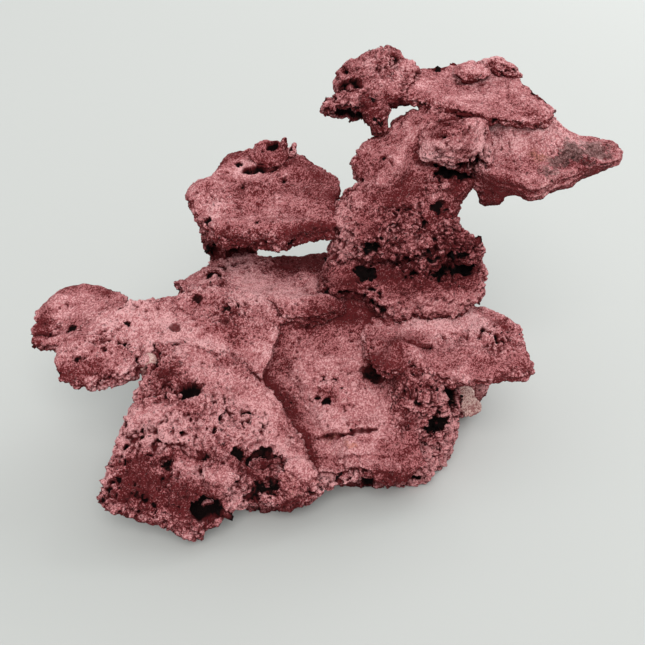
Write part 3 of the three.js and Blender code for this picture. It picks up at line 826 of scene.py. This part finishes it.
# --- lower tier
centreSlab = {
    "at": (13, -35, 73), "turn": (40, 0, 0), "phase": 0.4,
    "edges": [
        [(-22, -71), (4, -68), (15, -62), (39, -67)], [(62, -55), (58, -36), (53, -11), (48, 15), (44, 44)],
        [(34, 71), (4, 74), (-28, 72)], [(-46, 64), (-60, 8), (-40, -37)],
    ],
    "thick": (14, 15, 22, 22), "crown": -7, "rough": 1.2,
    "lumps": [
        (40, 20, 14, 3), (7, -40, 6, 3), (45, -10, 9, 4), (50, -34, 9, 3), (23, 17, 13, -4),
        (-16, 30, 16, 2),
    ],
    "ridges": [
        (-42, 14, 2, -62, 9, -8), (-36, -20, -10, -70, 7, -2), (-24, 62, 30, 62, 7, -5),
        (36, -4, 50, 4, 4, 4), (-34, -66, -2, -62, 5, -2), (-4, -56, 40, -58, 4, 3),
        (-20, -28, 24, -24, 6, 2.5), (32, 8, 42, -34, 7, -4),
    ],
    "steps": [(-26, -50, 46, -47, 2.5, 1.5), (-20, -61, 44, -60, 2, 1.2)],
    "hollows": [
        (26, 15, -7, 9, 6), (-19, 9, -5, 3.4, 3), (-12, 9.5, -5, 3.8, 3.2), (-4, 10, -5, 3, 2.5),
        (-27, -6, -5, 3.6, 3.4), (-18, -5, -5, 4, 3.2), (-10, -7, -5, 4, 3.5), (2, 3, -5, 1.8, 1.4),
        (-24, -20, -4, 2.2, 2.4), (-30, 2, -5, 5, 3),
    ],
    "grooves": [(-17, -34, 26, -29, 1.9, 3.4), (-6, -57, 20, -59, 1.6, 2.2)], "topPorous": 0.06,
    "ochre": [(7, -40, 6, 0.8), (-4, -36, 14, 0.3)],
    "shades": [
        (-56, 8, -40, -8, 8, 0.75), (-40, -8, -27, -34, 6, 0.75), (-27, -36, -19, -54, 5, 0.7),
        (-22, -56, -14, -66, 7, -0.3), (8, 60, 30, 50, 10, 0.6), (8, 14, 12, 10, 7, 0.25),
        (48, 12, 51, -20, 8, 0.45), (-8, -52, 0, -58, 6, 0.3), (-8, -2, 0, -8, 7, 0.3),
        (24, -8, 28, -26, 12, -0.4), (-6, -40, 18, -44, 9, -0.35), (52, -16, 42, -42, 9, 0.3),
        (38, -34, 38, -56, 10, 0.05), (-10, -62, 16, -66, 8, -0.45), (20, -68, 50, -66, 7, 0.6),
        (-44, 44, -40, 24, 9, 0.3),
    ],
    "patches": [
        (-40, -2, 12, 0.4), (52, -25, 12, 0.6), (-14, -2, 12, 0.25), (34, 2, 10, 0.3), (10, -60, 16, 0.3),
    ],
}
layStone("centreSlabStone", "centre_slab", "dusk_crust", centreSlab)

rightShelf = {
    "at": (95, -10, 97), "turn": (14, 4, 0), "phase": 1.7,
    "edges": [
        [(-64, -12), (-50, -28), (-34, -26), (-13, -31), (3, -35), (39, -28)],
        [(61, -21), (58, 7), (56, 25)], [(43, 29), (35, 39), (22, 45), (-12, 46), (-35, 44)],
        [(-58, 30), (-63, 10)],
    ],
    "thick": (13, 10, 9, 14), "crown": 1, "rough": 1.5,
    "lumps": [(-38, -11, 11, 8), (-24, -18, 9, 4), (10, -4, 12, 3), (36, 8, 14, 2)],
    "ridges": [(-52, -2, -18, -28, 4, 3), (-6, 8, 40, -6, 7, -3), (-30, -14, -12, -12, 5, 2)],
    "grooves": [(-34, -6, -13, -2, 3, 7)],
    "shades": [
        (-54, -18, -42, -22, 8, 0.5), (-24, 24, 22, 26, 14, -0.6), (-20, 40, 14, 38, 9, -0.3),
        (-40, -8, -22, 2, 8, 0.35), (30, -20, 50, -16, 10, 0.2), (26, 38, 40, 20, 9, 0.55),
    ],
    "shelter": 0.3, "topPorous": 0.25,
    "patches": [(-38, -10, 16, -0.5), (35, 8, 22, 0.35), (-14, 0, 12, 0.3), (0, -20, 14, -0.2)],
}
layStone("rightShelfStone", "right_shelf", "rose_crust", rightShelf)

leftSlab = {
    "at": (-79, -12, 107), "turn": (30, 4, 0), "phase": 2.6,
    "edges": [
        [(-110, -38), (-97, -43), (-76, -40), (-62, -37), (-48, -20), (-34, -10), (-12, -9), (12, -18)],
        [(35, -34), (39, -20), (46, 2)], [(52, 26), (24, 39), (-13, 39), (-35, 31)],
        [(-59, 20), (-86, 19), (-102, 1), (-113, -16)],
    ],
    "thick": (14, 16, 20, 16), "crown": 3, "rough": 2,
    "lumps": [
        (-10, 8, 12, 4), (22, 6, 11, 3.5), (-72, -12, 15, 3), (4, 26, 8, 3), (0, -6, 10, -3),
        (26, -18, 9, -3),
    ],
    "ridges": [(-100, -8, -84, -32, 8, 3), (-44, 6, -20, 24, 6, -3)],
    "hollows": [
        (-30, 4, 1, 4, 1.5), (8, 20, 3, 4, 2.5, 1.4), (-97, -24, 1, 3, 2), (-65, 6, 2, 2.4, 1.5),
        (-79, -16, 3, 2.4, 1.5), (12, 24, 2, 3, 3, 1.4), (-14, 29, 1, 4, 2.5, 1.4),
    ],
    "shades": [
        (14, 8, 34, 14, 12, 0.2), (-22, -8, 2, -14, 12, -0.5), (-92, 4, -56, 6, 14, -0.2),
        (14, -10, 20, -16, 7, 0.3), (-86, -30, -76, -34, 7, 0.35), (-56, 24, -30, 2, 12, -0.35),
        (-50, -20, -40, -8, 10, -0.35), (20, 34, 38, 30, 9, -0.6), (-92, -4, -80, -8, 8, 0.2),
        (-106, -30, -98, -36, 8, 0.3), (-104, -20, -92, -20, 8, -0.3), (8, 4, 16, -2, 9, 0.25),
        (-84, -40, -62, -36, 7, -0.5), (-16, 26, -2, 24, 8, 0.25),
    ],
    "topPorous": 0.3,
    "patches": [(10, 22, 16, 0.4), (-80, -18, 24, 0.25), (0, -6, 12, -0.3), (30, 0, 14, -0.3)],
}
layStone("leftSlabStone", "left_slab", "rose_crust", leftSlab)

frontBlock = {
    "at": (-77, -66, 66), "turn": (40, 8, 0), "phase": 3.5,
    "edges": [
        [(-80, -57), (-64, -62), (-43, -69), (-13, -81), (2, -72), (14, -60), (35, -54), (56, -58)],
        [(80, -46), (70, -25), (61, -9), (47, 16)], [(33, 34), (8, 54), (-16, 59)],
        [(-42, 58), (-53, 35), (-59, 15), (-64, 4), (-72, -23)],
    ],
    "thick": (18, 22, 26, 26), "crown": 4, "rough": 2,
    "lumps": [
        (8, -40, 12, 8), (-20, -46, 10, 6), (60, -36, 13, 5), (-38, 0, 12, 5), (34, -32, 12, -7),
        (-42, -30, 13, -4), (-8, 14, 12, 3), (-28, 48, 14, 4), (-54, -54, 12, 4), (2, -12, 10, 4),
        (28, -6, 9, 3), (-28, 12, 8, 4), (18, 4, 9, -3), (-12, -20, 8, -4),
    ],
    "discs": [(7, -39, 17, 6), (60, -38, 17, 5)], "rings": [(-6, -58, 16, 4, 2.5)],
    "ridges": [(40, 24, 58, -10, 6, 5), (58, -10, 76, -36, 6, 5), (-30, 54, -14, 38, 5, 3)],
    "hollows": [
        (-18, 23, 1, 8, 10), (8, 7, 4, 4, 4), (-6, -58, -6, 14, 15, 0.4), (35, -24, -2, 11, 7),
        (38, -41, -3, 8, 6), (29, -50, -2, 5, 3), (-57, -47, -1, 5, 5), (-47, -51, -1, 3.4, 3.4),
        (-64, -40, -1, 3, 3), (-38, -57, -1, 3.6, 3), (-30, -45, 0, 2.8, 2.6), (-34, -31, 1, 4.5, 5),
        (70, -39, 2, 3, 4), (16, -22, 4, 5, 5),
    ],
    "topPorous": 0.72,
    "patches": [
        (-12, 50, 16, -0.9), (28, 30, 18, -0.9), (52, 4, 16, -0.9), (66, -26, 13, -0.6), (6, -42, 11, -0.5),
        (62, -38, 10, -0.4), (-6, -60, 16, -0.4),
    ],
    "ochre": [(60, -40, 14, 0.35)],
    "shades": [
        (-54, -42, -10, -58, 15, 0.9), (-52, -26, -52, -40, 8, 0.3), (-30, -50, -22, -64, 10, 0.35),
        (-28, -22, -12, -24, 8, 0.55), (-22, 12, -10, 12, 6, 0.4), (-8, -24, 0, -32, 7, 0.35),
        (-54, -18, -46, -22, 7, 0.3), (14, -8, 24, -12, 6, 0.3), (-76, -36, -74, -52, 7, -0.35),
        (-62, -4, -20, -12, 14, -0.7), (-22, 48, 2, 34, 11, -0.4), (-50, -12, -40, -16, 9, -0.35),
        (-22, -32, -8, -33, 9, -0.45), (-46, 24, -38, 18, 9, -0.25), (-14, 28, 16, -6, 13, -0.5),
        (30, -8, 46, -18, 10, -0.6), (0, -44, 16, -50, 9, -0.45), (20, -56, 36, -57, 9, -0.6),
        (30, 30, 56, -26, 9, -0.2), (20, -29, 30, -32, 6, 0.45), (46, -50, 54, -55, 7, 0.3),
        (18, 14, 32, 4, 10, -0.35), (-34, 36, -4, 29, 8, 0.55), (8, 46, 26, 38, 9, 0.25),
        (66, -30, 76, -48, 8, -0.4), (-26, -68, -6, -80, 10, -0.5),
    ],
    "extras": [lumpStone((-82, -98, 22), (11, 6, 8), (50, 0, 30), 7.1, topPorous=0.2, crust=0.4)],
}
layStone("frontBlockStone", "front_block", "dusk_crust", frontBlock)

farLeftPlate = {
    "at": (-182, 21, 108), "turn": (16, -4, 0), "phase": 4.1,
    "edges": [
        [(-36, -30), (-20, -33), (4, -42), (28, -42)], [(50, -34), (48, -13)],
        [(40, 0), (23, 19), (4, 27), (-12, 26)], [(-27, 16), (-37, 6), (-37, -16)],
    ],
    "thick": (13, 14, 12, 11), "crown": 2, "rough": 1,
    "lumps": [(-14, 6, 14, 2), (10, -12, 12, 2), (-20, -14, 9, -3)], "ridges": [(-34, -8, -22, 8, 6, 2)],
    "hollows": [(-7, -19, 2, 3.4, 2.4)], "grooves": [(-36, -21, -18, -24, 2.6, 4)], "topPorous": 0.12,
    "patches": [(-20, -22, 12, 0.4)], "shades": [(-36, -26, -32, -10, 8, 0.5), (-16, 21, 16, 21, 9, 0.45)],
}
layStone("farLeftStone", "far_left_plate", "rose_crust", farLeftPlate)

backSlab = {
    "at": (-49, 50, 122), "turn": (6, 0, 0), "phase": 5.2,
    "edges": [
        [(-60, -14), (-52, -22), (-33, -29), (-6, -26), (20, -46), (32, -50), (47, -48)],
        [(66, -38), (68, -7)], [(60, 30), (31, 29), (4, 29), (-18, 34)],
        [(-40, 31), (-42, 16), (-54, 2), (-66, -6)],
    ],
    "thick": (15, 15, 18, 16), "crown": -1, "rough": 1.3,
    "lumps": [(-38, 4, 12, 4), (10, -26, 14, 4), (-15, -7, 10, -3)], "ridges": [(20, -36, 60, -30, 6, 3)],
    "hollows": [
        (-35, -2, 1, 5, 4), (-29, 11, 1, 4, 8, 0.7), (-22, 14, 1, 4.4, 8, 0.7), (-15, 17, 1, 4, 8, 0.7),
    ],
    "topPorous": 0.2, "patches": [(-34, -4, 14, 0.5), (30, -16, 16, 0.3)],
    "shades": [
        (-34, 4, -8, -4, 13, -0.05), (-6, -9, 24, -26, 12, -0.5), (44, -44, 60, -40, 8, 0.65),
        (24, 20, 54, 18, 14, 1.0),
    ],
    "shelter": 0.4,
}
layStone("backSlabStone", "back_slab", "dusk_crust", backSlab)
print("lower tier laid")

# --- column
columnFoot = {
    "at": (62, 18, 134), "turn": (66, 0, 0), "phase": 0.9,
    "edges": [
        [(-62, -14), (-40, -12), (-15, -28), (19, -30), (44, -26)], [(60, -15), (62, 5)],
        [(56, 18), (33, 16), (-4, 14), (-41, 18)], [(-58, 16), (-64, 4)],
    ],
    "thick": (40, 44, 40, 38), "crown": 3, "bulge": 0.05, "rough": 3,
    "lumps": [(-46, 4, 12, 4), (10, -6, 12, 4), (44, 0, 10, -4)],
    "hollows": [
        (-31, 7, 1, 6.5, 5, 1.2), (8, 13, 2, 9, 12, 1.3), (26, 13, 1, 10, 13, 1.3), (44, 12, 0, 10, 12, 1.3),
    ],
    "grooves": [(-48, -9, -30, -13, 3, 7), (-32, -13, -16, -22, 4.5, 9)],
    "shades": [(-10, -24, 50, -24, 12, -0.5), (-16, 4, 46, 3, 9, 0.7), (-44, 6, -38, 0, 7, 0.4)],
    "shelter": 0.35, "topPorous": 0.6,
    "patches": [(-46, 2, 12, -0.8), (-10, -8, 12, -0.3), (24, -14, 18, -0.25)],
}
layStone("columnFootStone", "column_foot", "porous_rubble", columnFoot)

columnStone = {
    "at": (61, 30, 173), "turn": (66, 0, 0), "phase": 1.3,
    "edges": [
        [(-56, -32), (-38, -26), (-18, -24), (10, -26), (34, -26)], [(57, -28), (60, -14)],
        [(43, 0), (28, 12), (0, 20), (-34, 24)], [(-52, 20), (-55, 0)],
    ],
    "thick": (38, 40, 36, 36), "crown": 4, "bulge": 0.05, "rough": 3,
    "lumps": [(-32, 6, 13, 5), (24, 2, 10, -3), (-2, 2, 10, 4), (10, -14, 7, 4)],
    "hollows": [
        (-25, -16, 2, 6.5, 8), (24, -22, 0, 11, 14, 1.3), (8, -26, 0, 10, 13, 1.3),
        (38, -30, -3, 10, 13, 1.3), (47, -15, -5, 7, 9), (14, 2, 4, 4.5, 5), (-10, -22, 2, 5, 7),
    ],
    "topPorous": 0.75, "patches": [(-36, 6, 14, -0.4)],
    "shades": [(0, 0, 1, 0, 80, 0.1), (-50, 14, -42, -18, 9, -0.4), (-42, -16, -30, -22, 9, -0.5)],
}
layStone("columnStone", "column_stone", "porous_rubble", columnStone)

caveRubble = {
    "at": (80, 26, 153), "turn": (50, 0, 20), "phase": 2.2,
    "edges": [[(-11, -8), (0, -11)], [(10, -8), (13, 0)], [(9, 8), (0, 11)], [(-10, 8), (-13, 0)]],
    "thick": 15, "crown": 3, "bulge": 0.2, "rough": 1, "topPorous": 0.7, "crust": 0.8,
}
layStone("caveLumpStone", "cave_rubble", "porous_rubble", caveRubble)

upperColumn = {
    "at": (64, 52, 214), "turn": (58, 0, 0), "phase": 3.1,
    "edges": [
        [(-48, -46), (-29, -55), (-9, -54), (0, -46), (8, -53), (18, -52)],
        [(31, -46), (39, -30), (47, -15)], [(51, 4), (48, 24), (28, 40), (2, 40)],
        [(-23, 24), (-36, 14), (-41, 1), (-37, -12), (-47, -20)],
    ],
    "thick": (26, 28, 30, 22), "crown": 3, "rough": 1.8,
    "lumps": [(-20, 2, 18, 4), (24, -14, 12, 3), (10, -30, 12, -3)],
    "ridges": [(-30, -24, 6, 26, 6, 2), (-2, -14, 14, 14, 5, -3)],
    "hollows": [
        (-9, -34, 2, 8, 9, 1.4), (4, -42, 0, 7, 9), (20, -31, 3, 4, 3, 1.5), (-19, 4, 6, 2.5, 3),
        (-16, -1, 6, 2.5, 3), (18, 12, 3, 4, 4), (26, -4, 3, 7, 10, 1.3), (35, -5, 3, 8, 10, 1.3),
        (43, -6, 1, 7, 9, 1.3),
    ],
    "shades": [
        (-40, 6, -32, -22, 9, -0.1), (34, -14, 46, -10, 9, 0.55), (-14, -28, 4, -16, 10, 0.5),
        (8, -46, 26, -44, 11, 0.55), (-34, -36, -24, -42, 8, -0.3),
    ],
    "topPorous": 0.35, "patches": [(-20, 8, 24, -0.6), (-28, -22, 14, -0.3), (24, -18, 20, 0.4)],
}
layStone("upperColumnStone", "upper_column", "dusk_crust", upperColumn)

neckStone = {
    "at": (100, 46, 236), "turn": (45, 10, 0), "phase": 4.8,
    "edges": [
        [(-26, -10), (-10, -14), (10, -16)], [(25, -17), (28, -4), (26, 10)], [(22, 21), (-1, 20)],
        [(-19, 17), (-27, 4)],
    ],
    "thick": (34, 36, 34, 32), "crown": 8, "bulge": 0.22, "rough": 3,
    "lumps": [(-14, 4, 7, 3), (4, 8, 9, 3), (-4, -6, 8, 2), (20, 14, 7, 3)],
    "rings": [(-17, -2, 5, 2.4, 2.5)],
    "hollows": [
        (-17, -2, 6, 3, 6, 0.6), (-15, 14, 5, 4.5, 7), (3, -13, -14, 8, 13, 1.3), (13, -12, -12, 8, 12, 1.3),
        (15, -4, -2, 4, 8, 1.4), (18, 5, 2, 4, 8, 1.4),
    ],
    "grooves": [(-2, 20, -4, -6, 2.4, 1.8), (8, 22, 9, -8, 2.4, 2), (17, -10, 19, 10, 3.4, 8)],
    "topPorous": 0.05, "wallPorous": 0.2,
    "shades": [
        (-26, -12, -27, -2, 7, -0.3), (-24, -13, -8, -12, 8, -0.65), (10, 2, 16, -12, 10, -0.6),
        (-20, 2, -14, 10, 7, 0.3),
    ],
}
layStone("neckStone", "neck_stone", "dusk_crust", neckStone)
print("column laid")

# --- shelves
shelfProp = {
    "at": (-80, 78, 178), "phase": 0.2,
    "edges": [
        [(-14, -12), (4, -10), (16, 2)], [(30, 4), (32, 12)], [(28, 20), (6, 22)], [(-13, 18), (-16, 2)],
    ],
    "thick": 60, "bulge": 0.08, "rough": 2.5,
    "hollows": [(12, -6, -36, 12, 16), (-2, -12, -14, 12, 14), (18, 0, -12, 12, 14)], "topPorous": 0.8,
}
layStone("propStone", "shelf_prop", "porous_rubble", shelfProp)

upperLeftShelf = {
    "at": (-43, 58, 187), "turn": (18, -2, 0), "phase": 1.1,
    "edges": [
        [(-43, -31), (-29, -44), (-17, -41), (-7, -46), (8, -49), (33, -40)],
        [(50, -36), (53, -12), (51, -4)], [(57, 10), (52, 22), (33, 40), (20, 48), (-12, 54)],
        [(-27, 51), (-38, 38), (-40, 27), (-59, 12), (-60, 1)],
    ],
    "thick": (17, 15, 13, 13), "crown": 1, "rough": 1.2,
    "lumps": [
        (-7, 6, 7, 6), (-13, 9, 5, 3), (27, 12, 10, -5), (-2, -12, 20, -2), (-42, 4, 12, 3), (14, -2, 12, 2),
    ],
    "ridges": [
        (-34, -30, 36, -34, 5, 3), (-34, 30, -6, 34, 6, 3), (16, 30, 40, 20, 6, 3), (-50, 8, -38, 24, 5, 2),
    ],
    "hollows": [
        (-19, 10, 3, 2.6, 4), (15, 14, 1, 2.8, 4), (-5, -31, 3, 3, 4), (-11, -29, 3, 1.8, 3),
        (-43, -25, 0, 3, 4), (-22, 33, 2, 3.5, 4),
    ],
    "grooves": [(-17, 27, 14, 29, 3.6, 6)], "topPorous": 0.1,
    "patches": [(-40, 0, 14, 0.2), (-4, 6, 8, 0.3), (0, -44, 40, 0.3)], "rimPorous": 0.8,
    "shades": [
        (18, -43, 44, -36, 7, 0.7), (34, 30, 44, -6, 16, 0.35), (-30, 46, -40, 36, 8, 0.3),
        (-26, 42, -14, 44, 8, 0.35), (-44, -6, -38, -24, 9, -0.35), (8, 34, 20, 34, 8, 0.25),
        (28, 2, 30, -12, 12, 0.1), (0, 0, 1, 0, 70, 0.1), (-18, 2, -6, -4, 9, 0.15), (0, 2, 8, 0, 9, 0.1),
        (-16, 30, -8, 24, 9, -0.6), (-34, -38, -24, -38, 6, 0.25),
    ],
    "extras": [
        lumpStone(
            (-41, 95, 203), (32, 27, 11), (28, 0, 6), 8.3, topPorous=0.1, crust=0.4, crown=-1,
            hollows=[(3, 5, 4, 4.6, 7, 0.6), (-6, 0, 4, 2.6, 3)], rings=[(1, 4, 8.5, 3, 1.6)],
            shades=[(0, 0, 1, 0, 30, 0.3)],
        ),
        lumpStone((-30, 96, 209), (6, 6, 13), (0, 10, 30), 8.7, crust=0.4),
        lumpStone((-24, 97, 204), (6, 6, 12), (0, 16, 0), 8.9, crust=0.4),
    ],
}
layStone("upperLeftStone", "upper_left_shelf", "rose_crust", upperLeftShelf)

topLeftCrag = {
    "at": (31, 88, 262), "turn": (30, 0, 0), "phase": 2.9,
    "edges": [
        [(-33, -18), (-25, -24), (-8, -28), (6, -32)], [(17, -28), (20, -14), (32, -10), (36, 2)],
        [(43, 16), (30, 30), (27, 39), (5, 34), (-13, 22)], [(-21, 10), (-20, 0), (-25, -11)],
    ],
    "thick": (13, 13, 18, 22), "crown": 4, "bulge": 0.06, "rough": 1.8,
    "lumps": [(14, 22, 10, 5), (-14, 12, 7, 3), (-4, -12, 10, -3), (16, 0, 8, 3)],
    "ridges": [(-22, -2, 2, 2, 4, 3), (-30, -14, -6, -16, 4, 2), (-18, 16, 4, 28, 5, 3)],
    "steps": [(-24, 5, 20, 10, 3, 1.5), (-30, -12, 14, -10, 2.5, 1.5)],
    "hollows": [
        (-13, 9, 3, 4, 6), (-7, -5, 3, 4, 6), (4, 8, 4, 3, 4), (-16, -27, -7, 10, 8, 1.2),
        (-2, -30, -8, 8, 7, 1.2),
    ],
    "grooves": [(-30, -3, -5, -5, 4, 8), (-12, -14, 12, -18, 2.6, 3)], "topPorous": 0.45,
    "shades": [
        (4, -28, 18, -18, 9, 0.6), (4, 10, 18, 12, 9, -0.2), (-20, -16, -10, -18, 8, -0.3),
        (0, 0, 1, 0, 60, 0.02), (16, -6, 26, 0, 9, -0.2),
    ],
    "extras": [
        lumpStone(
            (38, 68, 244), (15, 14, 27), (-14, -24, 0), 9.2, topPorous=0.5, crust=0.7,
            shades=[(0, 0, 1, 0, 30, 0.6)],
        ),
    ],
}
layStone("topCragStone", "top_left_crag", "dusk_crust", topLeftCrag)

topShelf = {
    "at": (117, 92, 256), "turn": (16, 4, 0), "phase": 3.9,
    "edges": [
        [(-57, -14), (-34, -20), (-11, -25), (18, -32)], [(35, -34), (50, -27), (52, -12)],
        [(46, -6), (38, 8), (31, 26), (29, 42), (0, 37)], [(-23, 26), (-42, 25), (-58, 16), (-53, 0)],
    ],
    "thick": (9, 9, 10, 12), "crown": -2, "rough": 0.8, "lumps": [(-10, -2, 20, -1.5)],
    "ridges": [(-50, -8, -20, -20, 5, 2), (30, 0, 44, -22, 6, 2)], "grooves": [(-16, 13, 8, 14, 2.4, 3)],
    "topPorous": 0.02, "patches": [(34, -24, 16, 0.5), (-2, 28, 12, 0.3), (-33, 22, 9, -0.8)],
    "crust": 0.65,
    "shades": [
        (-14, -26, 16, -33, 6, 0.3), (-48, 14, -34, 14, 8, 0.35), (10, -20, 34, -24, 8, 0.15),
        (-22, 16, -10, 18, 7, -0.25),
    ],
    "extras": [
        lumpStone(
            (113, 111, 263), (30, 22, 9), (18, 4, 14), 9.5, topPorous=0.3, crust=0.5, crown=0.6,
            shades=[(0, -3, 10, -3, 6, -0.3)],
        ),
        lumpStone(
            (137, 118, 262), (34, 13, 14), (10, 14, -18), 9.9, topPorous=0.4, crust=0.6,
            shades=[(0, 0, 1, 0, 30, -0.25)],
        ),
    ],
}
layStone("topShelfStone", "top_shelf", "rose_crust", topShelf)

upperRightShelf = {
    "at": (160, 60, 218), "turn": (16, 0, 0), "phase": 5.6,
    "edges": [
        [(-48, -10), (-39, -21), (-22, -29), (-8, -36), (5, -28), (23, -18), (41, -9)], [(59, -1), (62, 8)],
        [(56, 18), (31, 29), (13, 35), (-32, 48)], [(-60, 48), (-66, 26), (-58, 8)],
    ],
    "thick": (21, 12, 10, 16), "crown": 2, "rough": 1.2, "bulge": -0.03,
    "lumps": [(-50, 10, 14, 4), (-14, -18, 12, 3), (-39, 10, 8, -3), (-24, 24, 18, 18), (4, 24, 16, 17)],
    "drops": [(-38, -16, 8, 16), (-30, -24, 5, 8)],
    "ridges": [(-36, -20, -8, -32, 4, 2), (-6, -32, 24, -14, 4, 2)],
    "hollows": [(-50, -4, 0, 6, 9), (-46, 12, 2, 5, 7)],
    "shades": [
        (-48, 20, 8, 24, 16, -0.3), (-36, 6, -20, 4, 12, -0.3), (14, 10, 44, 10, 10, -0.5),
        (-34, -26, -26, -28, 8, 0.4), (-14, -20, 4, -22, 7, 0.1), (4, -30, 18, -26, 7, -0.4),
        (48, 10, 60, 12, 9, 0.35), (22, -12, 36, -8, 6, 0.35),
    ],
    "shelter": 0.2, "topPorous": 0.15, "wallPorous": 0.15,
    "patches": [(20, -2, 18, 0.5), (-1, -26, 10, 0.3)], "rimPorous": -0.2,
    "moss": [(22, 0, 15, 1.1), (44, 6, 14, 1.1), (2, -22, 9, 0.8), (10, -10, 8, 0.6)],
    "ochre": [(-3, -4, 8, 1.0), (0, -30, 9, 0.4), (-22, 24, 16, 0.35), (4, 28, 12, 0.3)],
}
layStone("upperRightStone", "upper_right_shelf", "rose_crust", upperRightShelf)
print("shelves laid")

# --- foot
baseFront = {
    "at": (44, -38, 34), "phase": 1.9, "foot": True,
    "edges": [
        [(-40, -22), (-14, -26), (14, -28)], [(38, -24), (44, 0)], [(40, 26), (0, 28)],
        [(-38, 26), (-44, 0)],
    ],
    "thick": 38, "bulge": 0.08, "rough": 2, "hollows": [(-10, -26, -26, 8, 7), (26, -26, -24, 7, 6)],
    "topPorous": 0.8, "shades": [(20, -26, 40, -6, 14, -0.5), (0, 0, 1, 0, 80, -0.1)],
}
layStone("frontFootingStone", "base_front", "porous_rubble", baseFront)

baseRight = {
    "at": (82, -14, 88), "phase": 2.4, "foot": True,
    "edges": [
        [(-30, -34), (-12, -38), (10, -34)], [(20, -26), (23, 0)], [(20, 34), (0, 36)],
        [(-28, 34), (-32, 0)],
    ],
    "thick": 94, "bulge": 0.08, "rough": 2.5, "hollows": [(14, -26, -16, 11, 12), (4, -38, -34, 9, 9)],
    "topPorous": 0.8, "shades": [(14, -34, 22, 10, 15, -0.45)],
}
layStone("rightFootingStone", "base_right", "porous_rubble", baseRight)

mortarStrip = {
    "at": (107, -2, 46), "turn": (70, 0, 35), "phase": 0.6, "grainStep": 0.7,
    "edges": [[(-8, -20), (4, -22)], [(9, -18), (8, 0)], [(9, 18), (0, 22)], [(-9, 18), (-7, 0)]],
    "thick": 10, "rough": 0.8, "topPorous": 0, "crust": 0.6,
    "extras": [lumpStone((-127, -27, 88), (16, 14, 18), (20, 10, 0), 6.4, topPorous=0, crust=0.5)],
}
layStone("mortarSqueeze", "mortar_strip", "mortar", mortarStrip)

baseRear = {
    "at": (50, 50, 106), "phase": 3.3, "foot": True, "grainStep": 1.25,
    "edges": [
        [(-76, -34), (-30, -36), (20, -38), (60, -38)], [(88, -26), (92, 4)],
        [(76, 36), (30, 42), (-40, 40)], [(-74, 32), (-84, 0)],
    ],
    "thick": 110, "peak": 0.3, "bulge": 0.06, "rough": 3.5,
    "hollows": [(40, 40, -50, 16, 14), (-30, 40, -70, 14, 12)], "topPorous": 0.8,
    "shades": [(0, 0, 1, 0, 200, -0.4)],
}
layStone("rearFootingStone", "base_rear", "porous_rubble", baseRear)

frontFoot = {
    "at": (-36, -62, 40), "phase": 4.4, "foot": True,
    "edges": [[(-24, -26), (0, -30)], [(22, -24), (26, 0)], [(22, 26), (0, 30)], [(-24, 26), (-28, 0)]],
    "thick": 44, "bulge": 0.1, "rough": 2, "topPorous": 0.8,
}
layStone("leftFootingStone", "front_foot", "porous_rubble", frontFoot)
print("foot laid")

carveHeap()

# --- floor
floorSettings = {"half": 4.0, "colour": (187, 189, 187), "roughness": 0.6, "sheen": 0.2}


def layFloor():
    half = floorSettings["half"]
    corners = np.array([(-half, -half, 0), (half, -half, 0), (half, half, 0), (-half, half, 0)]) * 1000
    finish = bpy.data.materials.new("paleFloor")
    finish.use_nodes = True
    shader = finish.node_tree.nodes["Principled BSDF"]
    shader.inputs["Base Color"].default_value = linear(floorSettings["colour"])
    shader.inputs["Roughness"].default_value = floorSettings["roughness"]
    shader.inputs["Specular IOR Level"].default_value = floorSettings["sheen"]
    meshPiece("paleFloor", corners, np.array([[0, 1, 2, 3]]), {}, finish)


layFloor()
print("floor laid")

bpy.context.view_layer.update()
